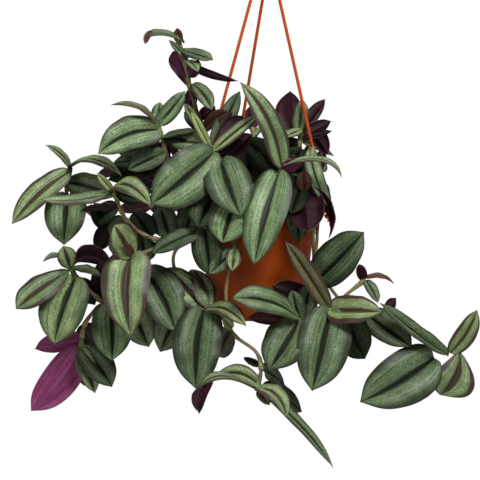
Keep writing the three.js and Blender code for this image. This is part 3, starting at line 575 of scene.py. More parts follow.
def tube_along(name, points, radii, closed=False):
    """A round tube along points, with its own radius at each."""
    line = bpy.data.curves.new(name, "CURVE")
    line.dimensions = "3D"
    line.bevel_depth = 1
    line.bevel_resolution = 3
    line.use_fill_caps = not closed
    spline = line.splines.new("POLY")
    spline.points.add(len(points) - 1)
    spline.use_cyclic_u = closed
    for point, place, radius in zip(spline.points, points, radii):
        point.co = (*place, 1)
        point.radius = radius
    piece = bpy.data.objects.new(name, line)
    bpy.context.collection.objects.link(piece)
    pick(piece)
    bpy.ops.object.convert(target="MESH")
    return bpy.context.object


def crook_line():
    """Up out of the cap, out to one side and round over the top."""
    points = []
    for step in range(CROOK_STEPS + 1):
        share = step / CROOK_STEPS
        if share < CROOK_RISE_SHARE:
            rise = share / CROOK_RISE_SHARE
            ease = (1 - math.cos(math.pi * rise)) / 2
            height = CAP_SHOULDER + (CROOK_CENTRE - CAP_SHOULDER) * rise
            points.append(Vector((CROOK_RADIUS * ease, 0, height)))
        else:
            turn = math.radians(CROOK_TURN * (share - CROOK_RISE_SHARE) / (1 - CROOK_RISE_SHARE))
            x, z = CROOK_RADIUS * math.cos(turn), CROOK_RADIUS * math.sin(turn)
            points.append(Vector((x, 0, CROOK_CENTRE + z)))
    return points


hook_foot = Vector((POT_AXIS + HOOK_OFFSET, 0, POT_FOOT + CAP_FOOT))
cap_profile = [
    (0, 0),
    (CAP_RADIUS - 0.0008, 0),
    (CAP_RADIUS, 0.0008),
    (CAP_RADIUS, 0.004),
    (CAP_RADIUS * 0.95, 0.006),
    (CAP_RADIUS * 0.86, 0.008),
    (CAP_RADIUS * 0.69, 0.0102),
    (CAP_RADIUS * 0.5, CAP_SHOULDER),
    (CAP_RADIUS * 0.36, CAP_SHOULDER + 0.0018),
    (CAP_RADIUS * 0.3, CAP_HEIGHT),
    (0, CAP_HEIGHT),
]
hook = turned("hook_with_cap", cap_profile, hook_foot)
crook_points = [hook_foot + point for point in crook_line()]
crook_radii = [CROOK_THICKNESS / 2] * (CROOK_STEPS - 2) + CROOK_END
crook = tube_along("crook", crook_points, crook_radii)
edit(bpy.ops.mesh.normals_make_consistent)
cut(hook, crook, "UNION")
for _, low, high in cords:
    along = (high - low).normalized()
    drill(hook, high - along * CORD_END_BORE, high + along * CORD_END_GAP, CORD_HOLE_RADIUS)
modify(hook, "BEVEL", width=EDGE_EASE, segments=2, limit_method="ANGLE", angle_limit=EDGE_ANGLE)
smoothed(hook, 35)
coat(hook, plastic)
hang(hook, "hook")

# Knots
# Each cord's end is tied in an overhand knot under its ear and cut off short, so that it can't slip
# through the hole.
KNOT_HALF = 0.0028
KNOT_SIZE = 0.00085
KNOT_STEPS = 72
KNOTTED_RADIUS = 0.0011
KNOT_GAP = 0.0003
TAIL = 0.005
TAIL_START = 0.001
FRAYED_RADII = (0.0011, 0.0012, 0.0013, 0.0015, 0.0017)


def overhand_knot(name, low, high):
    """The cord's line tied in a trefoil, with a frayed tail below."""
    along = (high - low).normalized()
    centre = low - along * (KNOT_HALF + KNOT_GAP)
    tilt = Vector((0, 0, 1)).rotation_difference(along).to_matrix()
    loops = []
    for step in range(KNOT_STEPS):
        turn = 2 * math.pi * step / KNOT_STEPS
        x = math.sin(turn) + 2 * math.sin(2 * turn)
        y = math.cos(turn) - 2 * math.cos(2 * turn)
        loops.append(centre + tilt @ Vector((x, y, -1.6 * math.sin(3 * turn))) * KNOT_SIZE)
    knot = tube_along(name, loops, [KNOTTED_RADIUS] * KNOT_STEPS, closed=True)
    tail_points = [centre - along * (TAIL_START + TAIL * step / 4) for step in range(5)]
    joined(knot, tube_along("tail", tail_points, FRAYED_RADII))
    smoothed(knot, 50)
    return knot


for number, (cord, low, high) in enumerate(cords, start=1):
    knot = overhand_knot(f"tied_knot_{number}", low, high)
    coat(knot, braid)
    hang(knot, f"knot_{number}")

# Leafy stems
# Twenty creeping stems root in the soil and arch over the rim or stand above it. A leaf with two
# bulging halves and a deep midrib sits at each node, and a short sheath at its base clasps the stem.
LEAF_COLUMNS = 12
LEAF_ROWS = 22
MIDRIB_CROWDING = 1.3
ROW_SPREAD = 0.4
END_CROWDING = 0.3
LEAF_THICKNESS = 0.00055
LEAF_FOLD = 18
BASE_FOLD = 50
BASE_SHARE = 0.05
HALF_BULGE = 0.17
EDGE_DROOP = 0.1
EDGE_WAVE = 0.05
EDGE_WAVES = (13, 23)
RIPPLE = 0.02
RIPPLES = 31
BROADEST = 0.82
ROUNDNESS = 0.42
TIP_TAPER = 0.5
CURL_START = 0.62
TWIST_START, TWIST_END = 0.45, 0.8
LEAF_FOOT = 0.0012
LEAF_POINT = 0.00015
STEM_RADIUS = 0.0017
NODE_RADIUS = 0.0023
NODE_LENGTH = 0.004
STEM_STEP = 0.002
STEM_END_SHARE = 0.7
SHEATH_LENGTH = 0.008
SHEATH_GAP = 0.0002
SHEATH_SWELL = 0.0009
SHEATH_ARC = 1.9
RIM_CLEARANCE = 0.062
RIM_OVER = 0.131
ROOT_HEIGHT = 0.096
SOIL_EXITS = (0.111, 0.115)

# A look is youth, purple stripes and painted shade, each from 0 to 1.
STRIPED = (0.3, 0.82, 0)
DULL_STRIPED = (0.1, 0.9, 0.08)
DIM_STRIPED = (0.1, 0.8, 0.32)
LIME_STRIPED = (0.6, 1, 0.2)
PALE_STRIPED = (0.5, 0.8, 0)
OLIVE = (0.7, 1, 0.44)
FADED = (0.4, 1, 0.33)
MATURE = (0.05, 0.1, 0.05)
SILVERY = (0.35, 0.1, 0)
SOFT = (0.05, 0.1, 0.24)
DUSKY = (0, 0.1, 0.46)
SOFT_DUSKY = (0, 0.1, 0.58)
DEEP = (0, 0, 0.68)
DARK = (0, 0, 0.8)
DRAB = (0.2, 0.6, 0.7)
YOUNG = (1, 0.5, 0)
SHADED = (0.05, 0.35, 0.97)
BRONZE = (0.2, 1, 0.55)
MAGENTA = (0, 1, 0)
PLUM = (0, 0.9, 0)
VIOLET = (0, 0.87, 0.02)
WINE = (0, 0.85, 0.12)
STEM_TONE = (0.3, 0.2, 0, 0.5)
SHEATH_TONE = (0.8, 0.5, 0, 0.5)

# Small leaves inside the crown stand where pixels from 128 to 330 and from 132 to 214 show them.
NODE_SPACING = 0.014
INNER_LEFT, INNER_RIGHT = 128, 330
INNER_TOP, INNER_FOOT = 132, 214
INNER_NEAR = 0.02
INNER_TRIES = 12
INNER_LENGTHS = (0.03, 0.045)
INNER_WIDTHS = (20, 27)
INNER_ARCHES = (2, 6)
INNER_LOOKS = (SHADED, SHADED, SHADED, DEEP)
SOIL_CLEARANCE = 0.006
CORD_CLEARANCE = 0.013
POT_CLEARANCE = 0.004

leaf_chance = random.Random(23)
inner_chance = random.Random(5)
pick()
bpy.ops.mesh.primitive_grid_add(
    x_subdivisions=LEAF_COLUMNS, y_subdivisions=LEAF_ROWS, size=1, calc_uvs=True
)
flat_leaf = bpy.context.object
flat_x, flat_y, _ = points_of(flat_leaf)
leaf_across = np.sign(flat_x) * np.abs(flat_x * 2) ** MIDRIB_CROWDING
leaf_along = ROW_SPREAD * (flat_y + 0.5) + END_CROWDING * (1 - np.cos(np.pi * (flat_y + 0.5)))


def unit(vectors):
    """The vectors at length one."""
    return vectors / np.linalg.norm(vectors, axis=-1, keepdims=True)


def turned_by(angles, first, second):
    """Two directions at right angles, turned towards each other's place by an angle at each point."""
    turn = np.radians(angles)[:, None]
    return np.cos(turn) * first - np.sin(turn) * second, np.cos(turn) * second + np.sin(turn) * first


def leaf(
    foot, tip, width, face, look, arch=0, fold=LEAF_FOLD, twist=0, curl=0, sway=0, broadest=BROADEST
):
    """One leaf, copied from the flat one and bent. It looks where face points, towards the viewer
    where its second number is above 0. Its foot and tip are places in the photograph or Vectors."""
    base, tip = (place if isinstance(place, Vector) else at(*place) for place in (foot, tip))
    made = copy_of(flat_leaf)
    along, across = leaf_along, leaf_across
    reach = np.abs(across)
    chord = np.array(tip - base)
    length = np.linalg.norm(chord)
    ahead = chord / length
    facing = np.array((face[0], -face[1], face[2]), dtype=float)
    facing = unit(facing - facing.dot(ahead) * ahead)
    lift = arch / 1000
    middle = np.array(base) + np.outer(along, chord) + np.outer(4 * lift * along * (1 - along), facing)
    tangent = unit(ahead + np.outer(4 * lift * (1 - 2 * along) / length, facing))
    upright = unit(facing - (tangent @ facing)[:, None] * tangent)
    side = np.cross(tangent, upright)
    if curl:
        middle, upright = curled(middle, tangent, upright, length, curl)
    gone = np.clip((along - TWIST_START) / (TWIST_END - TWIST_START), 0, 1)
    upright, side = turned_by(twist * gone**2 * (3 - 2 * gone), upright, side)
    shape = np.sin(np.pi * np.clip(along, 0, 1) ** broadest).clip(0) ** (ROUNDNESS + TIP_TAPER * along**8)
    half = np.maximum(width / 2000 * shape, LEAF_FOOT + (LEAF_POINT - LEAF_FOOT) * along)
    bend = np.radians(fold + BASE_FOLD * np.exp(-along / BASE_SHARE))
    phase = [leaf_chance.uniform(0, 2 * math.pi) for _ in range(3)]
    long_wave, short_wave = (along * waves + start for waves, start in zip(EDGE_WAVES, phase))
    wave = np.sin(long_wave + across) + 0.6 * np.sin(short_wave - 2 * across)
    wave *= EDGE_WAVE * reach**2 * np.sin(np.pi * along)
    bulge = HALF_BULGE * np.sin(np.pi * reach) - EDGE_DROOP * reach**3
    ripple = RIPPLE * np.sin(along * RIPPLES + phase[2]) * np.sin(np.pi * reach) * np.sin(np.pi * along)
    rise = half * (reach * np.sin(bend) + bulge + wave + ripple)
    aside = half * across * np.cos(bend) + 4 * sway / 1000 * along * (1 - along)
    points = middle + side * aside[:, None] + upright * rise[:, None]
    made.data.vertices.foreach_set("co", points.ravel())
    paint(made, (*look, leaf_chance.random()))
    return made, base


def curled(middle, tangent, upright, length, curl):
    """Rolls a leaf's tip away from the side it faces, by an angle reached at its end."""
    start = np.abs(leaf_along - CURL_START).argmin()
    gone = np.clip((leaf_along - CURL_START) / (1 - CURL_START), 0, 1)
    turn = (np.radians(curl) * gone)[:, None]
    radius = (1 - CURL_START) * length / math.radians(curl)
    ahead, up = tangent[start], upright[start]
    rolled = middle[start] + radius * (np.sin(turn) * ahead - (1 - np.cos(turn)) * up)
    bent = (gone > 0)[:, None]
    leaning = np.cos(turn) * up + np.sin(turn) * ahead
    return np.where(bent, rolled, middle), np.where(bent, leaning, upright)


def paint(piece, tone):
    """Gives a piece its youth, stripes, painted shade and seed, which its finish reads."""
    layer = piece.data.color_attributes.new("tone", "FLOAT_COLOR", "POINT")
    layer.data.foreach_set("color", np.tile(tone, len(piece.data.vertices)))


def stem_line(stops):
    """A smooth line through the stops, cut into short steps."""
    ends = [stops[0] * 2 - stops[1], *stops, stops[-1] * 2 - stops[-2]]
    line = [stops[0]]
    for before, start, end, after in zip(ends, ends[1:], ends[2:], ends[3:]):
        gaps = (start - before, end - start, after - end)
        first, here, last = (max(gap.length, 1e-6) ** 0.5 for gap in gaps)
        leave = (start - before) / first - (end - before) / (first + here) + (end - start) / here
        reach = (end - start) / here - (after - start) / (here + last) + (after - end) / last
        leave, reach = leave * here, reach * here
        steps = max(2, round((end - start).length / STEM_STEP))
        for step in range(1, steps + 1):
            share = step / steps
            cubic = (start - end) * 2 + leave + reach
            square = (end - start) * 3 - leave * 2 - reach
            line.append(start + leave * share + square * share**2 + cubic * share**3)
    return line


def nearest_gap(place, others):
    """How far the nearest of several points is."""
    return min((place - other).length for other in others)


def stem_tube(line, bases):
    """A juicy stem that swells at each node."""
    radii = []
    for place in line:
        swell = math.exp(-(((nearest_gap(place, bases) - SHEATH_LENGTH) / NODE_LENGTH) ** 2))
        radii.append(STEM_RADIUS + (NODE_RADIUS - STEM_RADIUS) * swell)
    radii[-1] *= STEM_END_SHARE
    tube = tube_along("stem", line, radii)
    paint(tube, STEM_TONE)
    coat(tube, bark)
    return tube


def sheaths(lines, bases):
    """The cups at the leaves' feet, each from the node below up to where its blade leaves."""
    cups = []
    for base in bases:
        line = min(lines, key=lambda stops: nearest_gap(base, stops))
        end = min(range(len(line)), key=lambda step: (line[step] - base).length) + 1
        places = line[max(0, end - 1 - round(SHEATH_LENGTH / STEM_STEP)) : end]
        if len(places) < 3:
            continue
        shares = [step / (len(places) - 1) for step in range(len(places))]
        radii = [STEM_RADIUS + SHEATH_GAP + SHEATH_SWELL * math.sin(SHEATH_ARC * share) for share in shares]
        cup = tube_along("sheath", places, radii)
        paint(cup, SHEATH_TONE)
        coat(cup, cup_skin)
        cups.append(cup)
    return cups


def effect(name, inputs, outputs):
    """A new node group, with what it is given and the sockets of its results."""
    group = bpy.data.node_groups.new(name, "ShaderNodeTree")
    for key, kind in inputs.items():
        group.interface.new_socket(name=key, in_out="INPUT", socket_type="NodeSocket" + kind)
    for key in outputs:
        group.interface.new_socket(name=key, in_out="OUTPUT", socket_type="NodeSocketFloat")
    given = group.nodes.new("NodeGroupInput").outputs
    return group, given, group.nodes.new("NodeGroupOutput").inputs


def vein_effect():
    """Fine lines that run the length of a leaf, half by half, and close up at both its ends."""
    inputs = {"Leaf": "Vector", "Seed": "Float", "Lines": "Float"}
    group, given, result = effect("leaf veins", inputs, ("Reach", "Along", "Veins"))
    across, along, _ = apart(given["Leaf"])
    side = maths("SUBTRACT", across, 0.5)
    lead(maths("MULTIPLY", maths("ABSOLUTE", side), 2.0), result["Reach"])
    lead(along, result["Along"])
    spread = maths("MULTIPLY", side, given["Lines"])
    depth = maths("MULTIPLY", given["Seed"], 40.0)
    sockets = {0: spread, 1: maths("MULTIPLY", along, 1.6), 2: depth}
    place = put(group, "ShaderNodeCombineXYZ", sockets).outputs[0]
    lead(noise(place, 1.0, 4.0, 0.6), result["Veins"])
    return group


def cell_effect():
    """The leaf's skin: swollen cells, whose glisten is partly painted as glints, and patches that vary in
    tone.
    """
    group, given, result = effect("leaf cells", {"Place": "Vector"}, ("Cells", "Patches"))
    lead(noise(given["Place"], 1000.0, 3.0, 0.6), result["Cells"])
    lead(noise(given["Place"], 55.0, 2.0), result["Patches"])
    return group


veins = vein_effect()
cells = cell_effect()


def use(group, sockets):
    """Places a node group in a material and gives its outputs."""
    tree = next(iter(sockets.values())).id_data
    return put(tree, "ShaderNodeGroup", sockets, node_tree=group).outputs


def leaf_inputs(places, lines):
    """The places, lines and tones that every leaf finish starts from."""
    tone = put(places[0].id_data, "ShaderNodeVertexColor", layer_name="tone").outputs
    youth, stripes, painted_shade = put(places[0].id_data, "ShaderNodeSeparateColor", {0: tone[0]}).outputs
    sockets = {"Leaf": places["UV"], "Seed": tone["Alpha"], "Lines": lines}
    reach, along, streaks = use(veins, sockets)
    grain, patches = use(cells, {"Place": places["Object"]})
    return reach, along, streaks, grain, patches, youth, stripes, painted_shade


def upper_finish():
    """Silver bands between a dark centre and a green margin, all drawn out in fine lines."""
    made, surface, places = finish_of("leaf upper side", 0.4)
    reach, along, streaks, grain, patches, youth, stripes, painted_shade = leaf_inputs(places, 38.0)
    _, _, coarse = use(veins, {"Leaf": places["UV"], "Seed": 0.3, "Lines": 15.0})
    ragged = maths("MULTIPLY_ADD", coarse, 0.3, -0.15)
    uneven = maths("MULTIPLY_ADD", patches, 0.2, -0.1)
    place = maths("ADD", reach, maths("ADD", ragged, uneven))
    arc = maths("SINE", maths("MULTIPLY", along, math.pi))
    swell = maths("POWER", maths("MAXIMUM", arc, 0.0), 0.6)
    broad = maths("MULTIPLY_ADD", stripes, 0.09, ramp(youth, 0.2, 1.0, 0.2, 0.12))
    from_centre = maths("SUBTRACT", place, maths("MULTIPLY", swell, broad))
    margin_edge = maths("MULTIPLY_ADD", maths("POWER", stripes, 3.0), -0.17, 0.93)
    silver = blended(youth, colour(126, 154, 102), colour(160, 176, 108))
    bright = blended(youth, colour(200, 221, 178), colour(214, 224, 164))
    green = blended(youth, colour(56, 82, 42), colour(104, 126, 56))
    both = maths("MULTIPLY_ADD", coarse, 0.6, maths("MULTIPLY", streaks, 0.5))
    skin = blended(ramp(both, 0.5, 0.64, 0.0, 0.95), silver, green)
    # Pale cell specks, partly real and partly painted glints where the silver cells catch the light.
    skin = blended(ramp(grain, 0.48, 0.66, 0.0, 0.7), skin, bright)
    dim_green = blended(youth, colour(48, 74, 36), green)
    skin = blended(ramp(place, 0.5, 1.0, 0.0, 0.85), skin, dim_green)
    purple = blended(grain, colour(58, 38, 36), colour(88, 62, 54))
    dark = blended(stripes, colour(28, 42, 20), purple)
    edge = blended(stripes, colour(42, 62, 30), purple)
    rib = blended(stripes, colour(28, 20, 18), colour(98, 96, 62))
    bands = (
        (ramp(from_centre, -0.06, 0.06, 1.0, 0.0), dark),
        (ramp(maths("SUBTRACT", place, margin_edge), -0.05, 0.06), edge),
        (ramp(reach, 0.02, 0.06, 0.9, 0.0), rib),
        (ramp(reach, 0.93, 0.98, 0.0, 0.8), colour(70, 42, 44)),
        (ramp(along, 0.0, 0.06, 0.7, 0.0), colour(126, 138, 58)),
        (ramp(along, 0.9, 1.0, 0.0, 0.7), colour(62, 36, 34)),
        (ramp(patches, 0.35, 0.75, 0.0, 0.4), colour(36, 58, 28)),
        # Painted shade: leaves deep in the crown are darkened towards black.
        (maths("MULTIPLY", painted_shade, 0.95), colour(10, 14, 7)),
    )
    for share, tint in bands:
        skin = blended(share, skin, tint)
    flush = ramp(maths("MULTIPLY", stripes, painted_shade), 0.38, 0.52, 0.0, 0.92)
    bronze = blended(streaks, colour(58, 26, 22), colour(104, 62, 44))
    lead(blended(flush, skin, bronze), surface["Base Color"])
    lead(ramp(grain, 0.3, 0.8, 0.5, 0.34), surface["Roughness"])
    # Leaves in painted shade lose their shine as well.
    lead(ramp(painted_shade, 0.4, 0.95, 0.42, 0.06), surface["Specular IOR Level"])
    relief(surface, maths("MULTIPLY_ADD", streaks, 2.0, grain), 0.00022, 0.8)
    return made


def underside_finish():
    """Deep purple with paler lines, brighter magenta on the striped leaves, painted glints and painted
    shade.
    """
    made, surface, places = finish_of("leaf underside", 0.45, 0.22)
    reach, _, streaks, grain, patches, _, stripes, painted_shade = leaf_inputs(places, 50.0)
    # Painted shade dims the magenta as well as the rest.
    glow = ramp(maths("SUBTRACT", stripes, painted_shade), 0.75, 1.0)
    deep = blended(glow, colour(44, 9, 22), colour(112, 36, 80))
    pale = blended(glow, colour(76, 28, 42), colour(160, 84, 130))
    rib = blended(glow, colour(84, 40, 44), colour(140, 84, 116))
    skin = blended(ramp(streaks, 0.42, 0.72), deep, pale)
    skin = blended(ramp(reach, 0.02, 0.1, 0.6, 0.0), skin, rib)
    skin = blended(ramp(patches, 0.4, 0.7, 0.0, 0.5), skin, deep)
    # Painted glints: pale pink specks where the cells would catch the light.
    painted_glints = maths("MULTIPLY", ramp(grain, 0.56, 0.74, 0.0, 0.6), glow)
    skin = blended(painted_glints, skin, colour(190, 124, 168))
    # Painted shade: leaves deep in the crown are darkened towards black.
    skin = blended(maths("MULTIPLY", painted_shade, 0.85), skin, colour(20, 6, 10))
    lead(skin, surface["Base Color"])
    relief(surface, maths("MULTIPLY_ADD", streaks, 2.5, grain), 0.0002, 0.8)
    return made


def plain_finish(name, low, high, dark):
    """A stem, sheath or leaf edge: two colours in streaks, with darker patches."""
    made, surface, places = finish_of(name, 0.45)
    grain, patches = use(cells, {"Place": places["Object"]})
    fine = noise(places["Object"], 420.0, 3.0)
    mixed = blended(ramp(fine, 0.3, 0.7), colour(*low), colour(*high))
    spotted = blended(ramp(patches, 0.45, 0.75, 0.0, 0.7), mixed, colour(*dark))
    lead(spotted, surface["Base Color"])
    relief(surface, maths("ADD", grain, fine), 0.0002)
    return made


upper = upper_finish()
underside = underside_finish()
hem = plain_finish("leaf edge", (92, 54, 56), (110, 76, 66), (60, 30, 38))
bark = plain_finish("stem skin", (116, 106, 62), (142, 130, 84), (86, 58, 52))
cup_skin = plain_finish("sheath skin", (120, 118, 66), (158, 156, 98), (104, 66, 70))


def pixel(place):
    """Where a point shows in the photograph."""
    scale = METRE_PER_PX * (1 + place.y / VIEW_DISTANCE)
    right = place.x - POT_AXIS + (POT_AXIS_PX - PHOTO_CENTRE) * METRE_PER_PX
    up = place.z - POT_FOOT - (POT_FOOT_PX - PHOTO_CENTRE) * METRE_PER_PX
    return PHOTO_CENTRE + right / scale, PHOTO_CENTRE - up / scale


def off_the_cords(place):
    """Whether a point keeps clear of all the cords."""
    gaps = []
    for _, low, high in cords:
        along = (high - low).normalized()
        gaps.append(((place - low) - along * (place - low).dot(along)).length)
    return min(gaps) > CORD_CLEARANCE


def off_the_pot(place, gap):
    """Whether a point is outside the rim or above it, by at least a gap."""
    away = Vector((place.x - POT_AXIS, place.y, 0)).length
    return away > RIM_RADIUS + gap or place.z > POT_FOOT + POT_HEIGHT + gap


def has_room(foot, tip):
    """Whether a small leaf would show only inside the crown, clear of pot and cords."""
    middle = foot.lerp(tip, 0.5)
    px, py = pixel(tip)
    inside = INNER_LEFT < px < INNER_RIGHT and INNER_TOP < py < INNER_FOOT and tip.y > -INNER_NEAR
    clear = off_the_pot(tip, POT_CLEARANCE) and off_the_pot(middle, 2 * POT_CLEARANCE)
    return inside and clear and off_the_cords(tip) and off_the_cords(middle)


def hidden_leaves(line, taken):
    """Smaller leaves at the nodes near the root, which others cover from the front, darkened by painted
    shade.
    """
    found = []
    run = 0
    for before, place, after in zip(line[4:], line[5:], line[6:]):
        run += (place - before).length
        crowded = nearest_gap(place, taken) < NODE_SPACING / 2
        if run < NODE_SPACING or crowded or place.z < POT_FOOT + SOIL_TOP + SOIL_CLEARANCE:
            continue
        run = 0
        ahead = (after - before).normalized()
        out = Vector((place.x - POT_AXIS, place.y, 0)).normalized()
        for _ in range(INNER_TRIES):
            sway = Vector([inner_chance.uniform(-1, 1) for _ in range(3)])
            grows = (out * 0.5 + ahead * 0.4 + sway).normalized()
            tip = place + grows * inner_chance.uniform(*INNER_LENGTHS)
            if has_room(place, tip):
                face = (out.x + sway.x * 0.3, -out.y + 0.3, 0.9)
                look = inner_chance.choice(INNER_LOOKS)
                width = inner_chance.uniform(*INNER_WIDTHS)
                arch = inner_chance.uniform(*INNER_ARCHES)
                found.append(leaf(place, tip, width, face, look, arch))
                break
    return found


def grow(side, foot, over, route, *leaves, shoot=()):
    """Makes one stem with its side shoot, sheaths and leaves a single piece. It roots in the soil,
    bends outwards over the rim at an angle where over is given, and follows places in the photo."""
    root = around(0, 0, ROOT_HEIGHT) + Vector((foot[0], -foot[1], 0)) / 1000
    rise = [root + Vector((0, 0, height - ROOT_HEIGHT)) for height in SOIL_EXITS]
    bend = [] if over is None else [around(over, RIM_CLEARANCE, RIM_OVER)]
    lines = [stem_line([root, *rise, *bend, *(at(*stop) for stop in route)])]
    if shoot:
        lines.append(stem_line([at(*stop) for stop in shoot]))
    leaves = [*leaves, *hidden_leaves(lines[0], [base for _, base in leaves])]
    bases = [base for _, base in leaves]
    tubes = [stem_tube(line, bases) for line in lines]
    cups = sheaths(lines, bases)
    blades = joined(*(blade for blade, _ in leaves))
    coat(blades, upper, underside, hem)
    slots = {"material_offset": 1, "material_offset_rim": 2}
    modify(blades, "SOLIDIFY", thickness=LEAF_THICKNESS, offset=-1, **slots)
    smoothed(blades, 60)
    whole = joined(blades, *tubes, *cups)
    whole.name = "stem_and_leaves_" + side
    hang(whole, "leafy_stem_" + side)


grow(
    "left_high", (-38, 4), 278,
    [(152, 234, -14), (110, 227, -12), (90, 213, -10), (68, 197, -6), (70, 168, 10)],
    leaf((70, 172, 10), (12, 224, 34), 29, (-0.2, 1, 0.4), STRIPED, arch=6, sway=0.4),
    leaf((70, 168, 10), (46, 145, 22), 10, (0.3, 1, 0.6), DULL_STRIPED, arch=3, sway=2),
    leaf((70, 168, 10), (122, 176, 40), 20, (0, 0.55, 1), STRIPED, arch=12),
    leaf((69, 183, 2), (115, 197, 20), 30, (0, 1, 0.5), DUSKY, arch=4),
    leaf((68, 196, -6), (64, 245, 38), 44, (0, 1, 0.1), MATURE, arch=5),
    leaf((108, 226, -12), (97, 251, -18), 20, (0, -1, 0.3), SHADED),
    leaf((110, 227, -12), (94, 203, -2), 24, (-0.2, 1, 0.3), SHADED),
    leaf((97, 219, -11), (120, 205, 4), 24, (0, 1, 0.4), DEEP),
)
grow(
    "left_middle", (-26, 28), 316,
    [(200, 222, 52), (175, 238, 54), (152, 238, 56), (128, 222, 60), (113, 191, 62)],
    leaf((114, 193, 62), (40, 201, 72), 26, (0, 0.55, 1), DULL_STRIPED, arch=-5, curl=-20),
    leaf((113, 192, 62), (97, 173, 70), 9, (-0.3, 1, 0.3), YOUNG),
    leaf((119, 208, 61), (80, 211, 56), 22, (0, -0.3, 1), SHADED),
    leaf((113, 192, 62), (151, 206, 88), 26, (0, 0.8, 0.8), STRIPED, arch=15),
    leaf((113, 191, 62), (140, 201, 40), 20, (0, 1, 0.4), SHADED),
    leaf((152, 238, 56), (133, 212, 34), 26, (0, 1, 0.5), SHADED),
    leaf((170, 239, 54), (160, 207, 30), 28, (0, 1, 0.5), DEEP),
    leaf((186, 232, 54), (196, 204, 40), 28, (0, 1, 0.4), DEEP, arch=3),
    leaf((126, 218, 60), (110, 236, 40), 20, (0, 1, 0.3), DEEP),
)
grow(
    "left_big", (-45, 8), 284,
    [(186, 216, 24), (160, 244, 44), (134, 257, 60)],
    leaf((130, 255, 60), (114, 225, 80), 37, (0, 1, 0.8), PALE_STRIPED, fold=8),
    leaf((134, 256, 60), (122, 242, 80), 9, (0, 1, 0.4), BRONZE),
    leaf((131, 256, 60), (131, 337, 90), 50, (0, 1, 0.3), STRIPED, arch=6, sway=5, broadest=0.56),
)
grow(
    "left_low", (-47, -3), 268,
    [(180, 226, 4), (156, 243, 22), (145, 266, 32), (126, 295, 34), (104, 303, 32), (96, 309, 32),
        (84, 326, 32), (81, 349, 32)],
    leaf((70, 268, 32), (40, 266, 42), 13, (-0.2, 0.5, 1), DULL_STRIPED, arch=12, curl=30),
    leaf((70, 268, 32), (63, 246, 50), 20, (0, 1, 0.5), STRIPED, arch=3, broadest=1.5),
    leaf((69, 271, 32), (16, 309, 58), 32, (-0.2, 1, 0.5), DULL_STRIPED, arch=5, sway=-2, broadest=1.4),
    leaf((76, 277, 32), (54, 344, 46), 49, (-0.1, 1, 0.2), SILVERY, arch=5, sway=1),
    leaf((72, 270, 32), (101, 277, 40), 20, (0, 0.35, 1), DUSKY, arch=3),
    leaf((72, 270, 32), (114, 268, 8), 28, (0, -0.8, 0.7), WINE, arch=19),
    leaf((78, 280, 32), (95, 305, 16), 22, (0, -1, 0.2), SHADED),
    leaf((81, 338, 32), (35, 349, 24), 24, (-0.1, -1, 0.5), MAGENTA),
    leaf((81, 347, 32), (31, 411, 44), 38, (0.2, -1, 0.3), MAGENTA, arch=4, sway=3.5),
    leaf((81, 348, 32), (95, 393, 48), 24, (0.1, 1, 0.3), DULL_STRIPED, fold=28),
    leaf((82, 348, 32), (112, 387, 54), 33, (0.3, 1, 0.3), DEEP, sway=-2),
    leaf((112, 304, 34), (112, 361, 66), 43, (0, 1, 0.3), MATURE, arch=3, sway=-1),
    leaf((84, 326, 32), (100, 351, 12), 30, (0.2, -1, 0.3), BRONZE),
    leaf((81, 348, 32), (84, 386, 16), 16, (0, 1, 0.2), SHADED),
    leaf((145, 271, 34), (176, 332, 66), 47, (0.1, 1, 0.3), DUSKY, arch=7, sway=-2),
    leaf((126, 295, 34), (149, 347, 34), 37, (0, 1, 0.3), MATURE),
    leaf((146, 262, 30), (141, 234, 26), 26, (0, 1, 0.3), DEEP),
    leaf((104, 303, 32), (99, 262, 20), 24, (0, -1, 0.3), SHADED),
    shoot=[(104, 303, 32), (90, 291, 32), (77, 278, 32), (70, 267, 32)],
)
grow(
    "front_left", (-12, 36), 324,
    [(205, 226, 58), (190, 241, 58), (176, 250, 44), (174, 267, 26), (187, 292, 34),
        (207, 311, 60)],
    leaf((206, 310, 60), (164, 268, 34), 31, (0.1, 1, 0.4), DULL_STRIPED, arch=3),
    leaf((206, 310, 60), (192, 269, 26), 27, (0.6, 1, 0.4), DULL_STRIPED, arch=6),
    leaf((207, 311, 60), (246, 326, 92), 21, (0, 1, 0.75), LIME_STRIPED, arch=9, sway=-3),
    leaf((204, 309, 60), (196, 389, 92), 50, (0, 1, 0.25), SOFT_DUSKY, arch=6, sway=3),
    leaf((187, 294, 48), (160, 352, 42), 38, (0, 1, 0.5), DUSKY),
    leaf((205, 226, 58), (211, 276, 70), 32, (-0.1, 1, 0.2), DARK, arch=3),
    leaf((214, 196, 52), (198, 228, 72), 40, (-0.1, 1, 0.3), DARK, arch=3),
    leaf((200, 232, 58), (152, 254, 76), 24, (0, 0.9, 0.8), DEEP, arch=3),
)
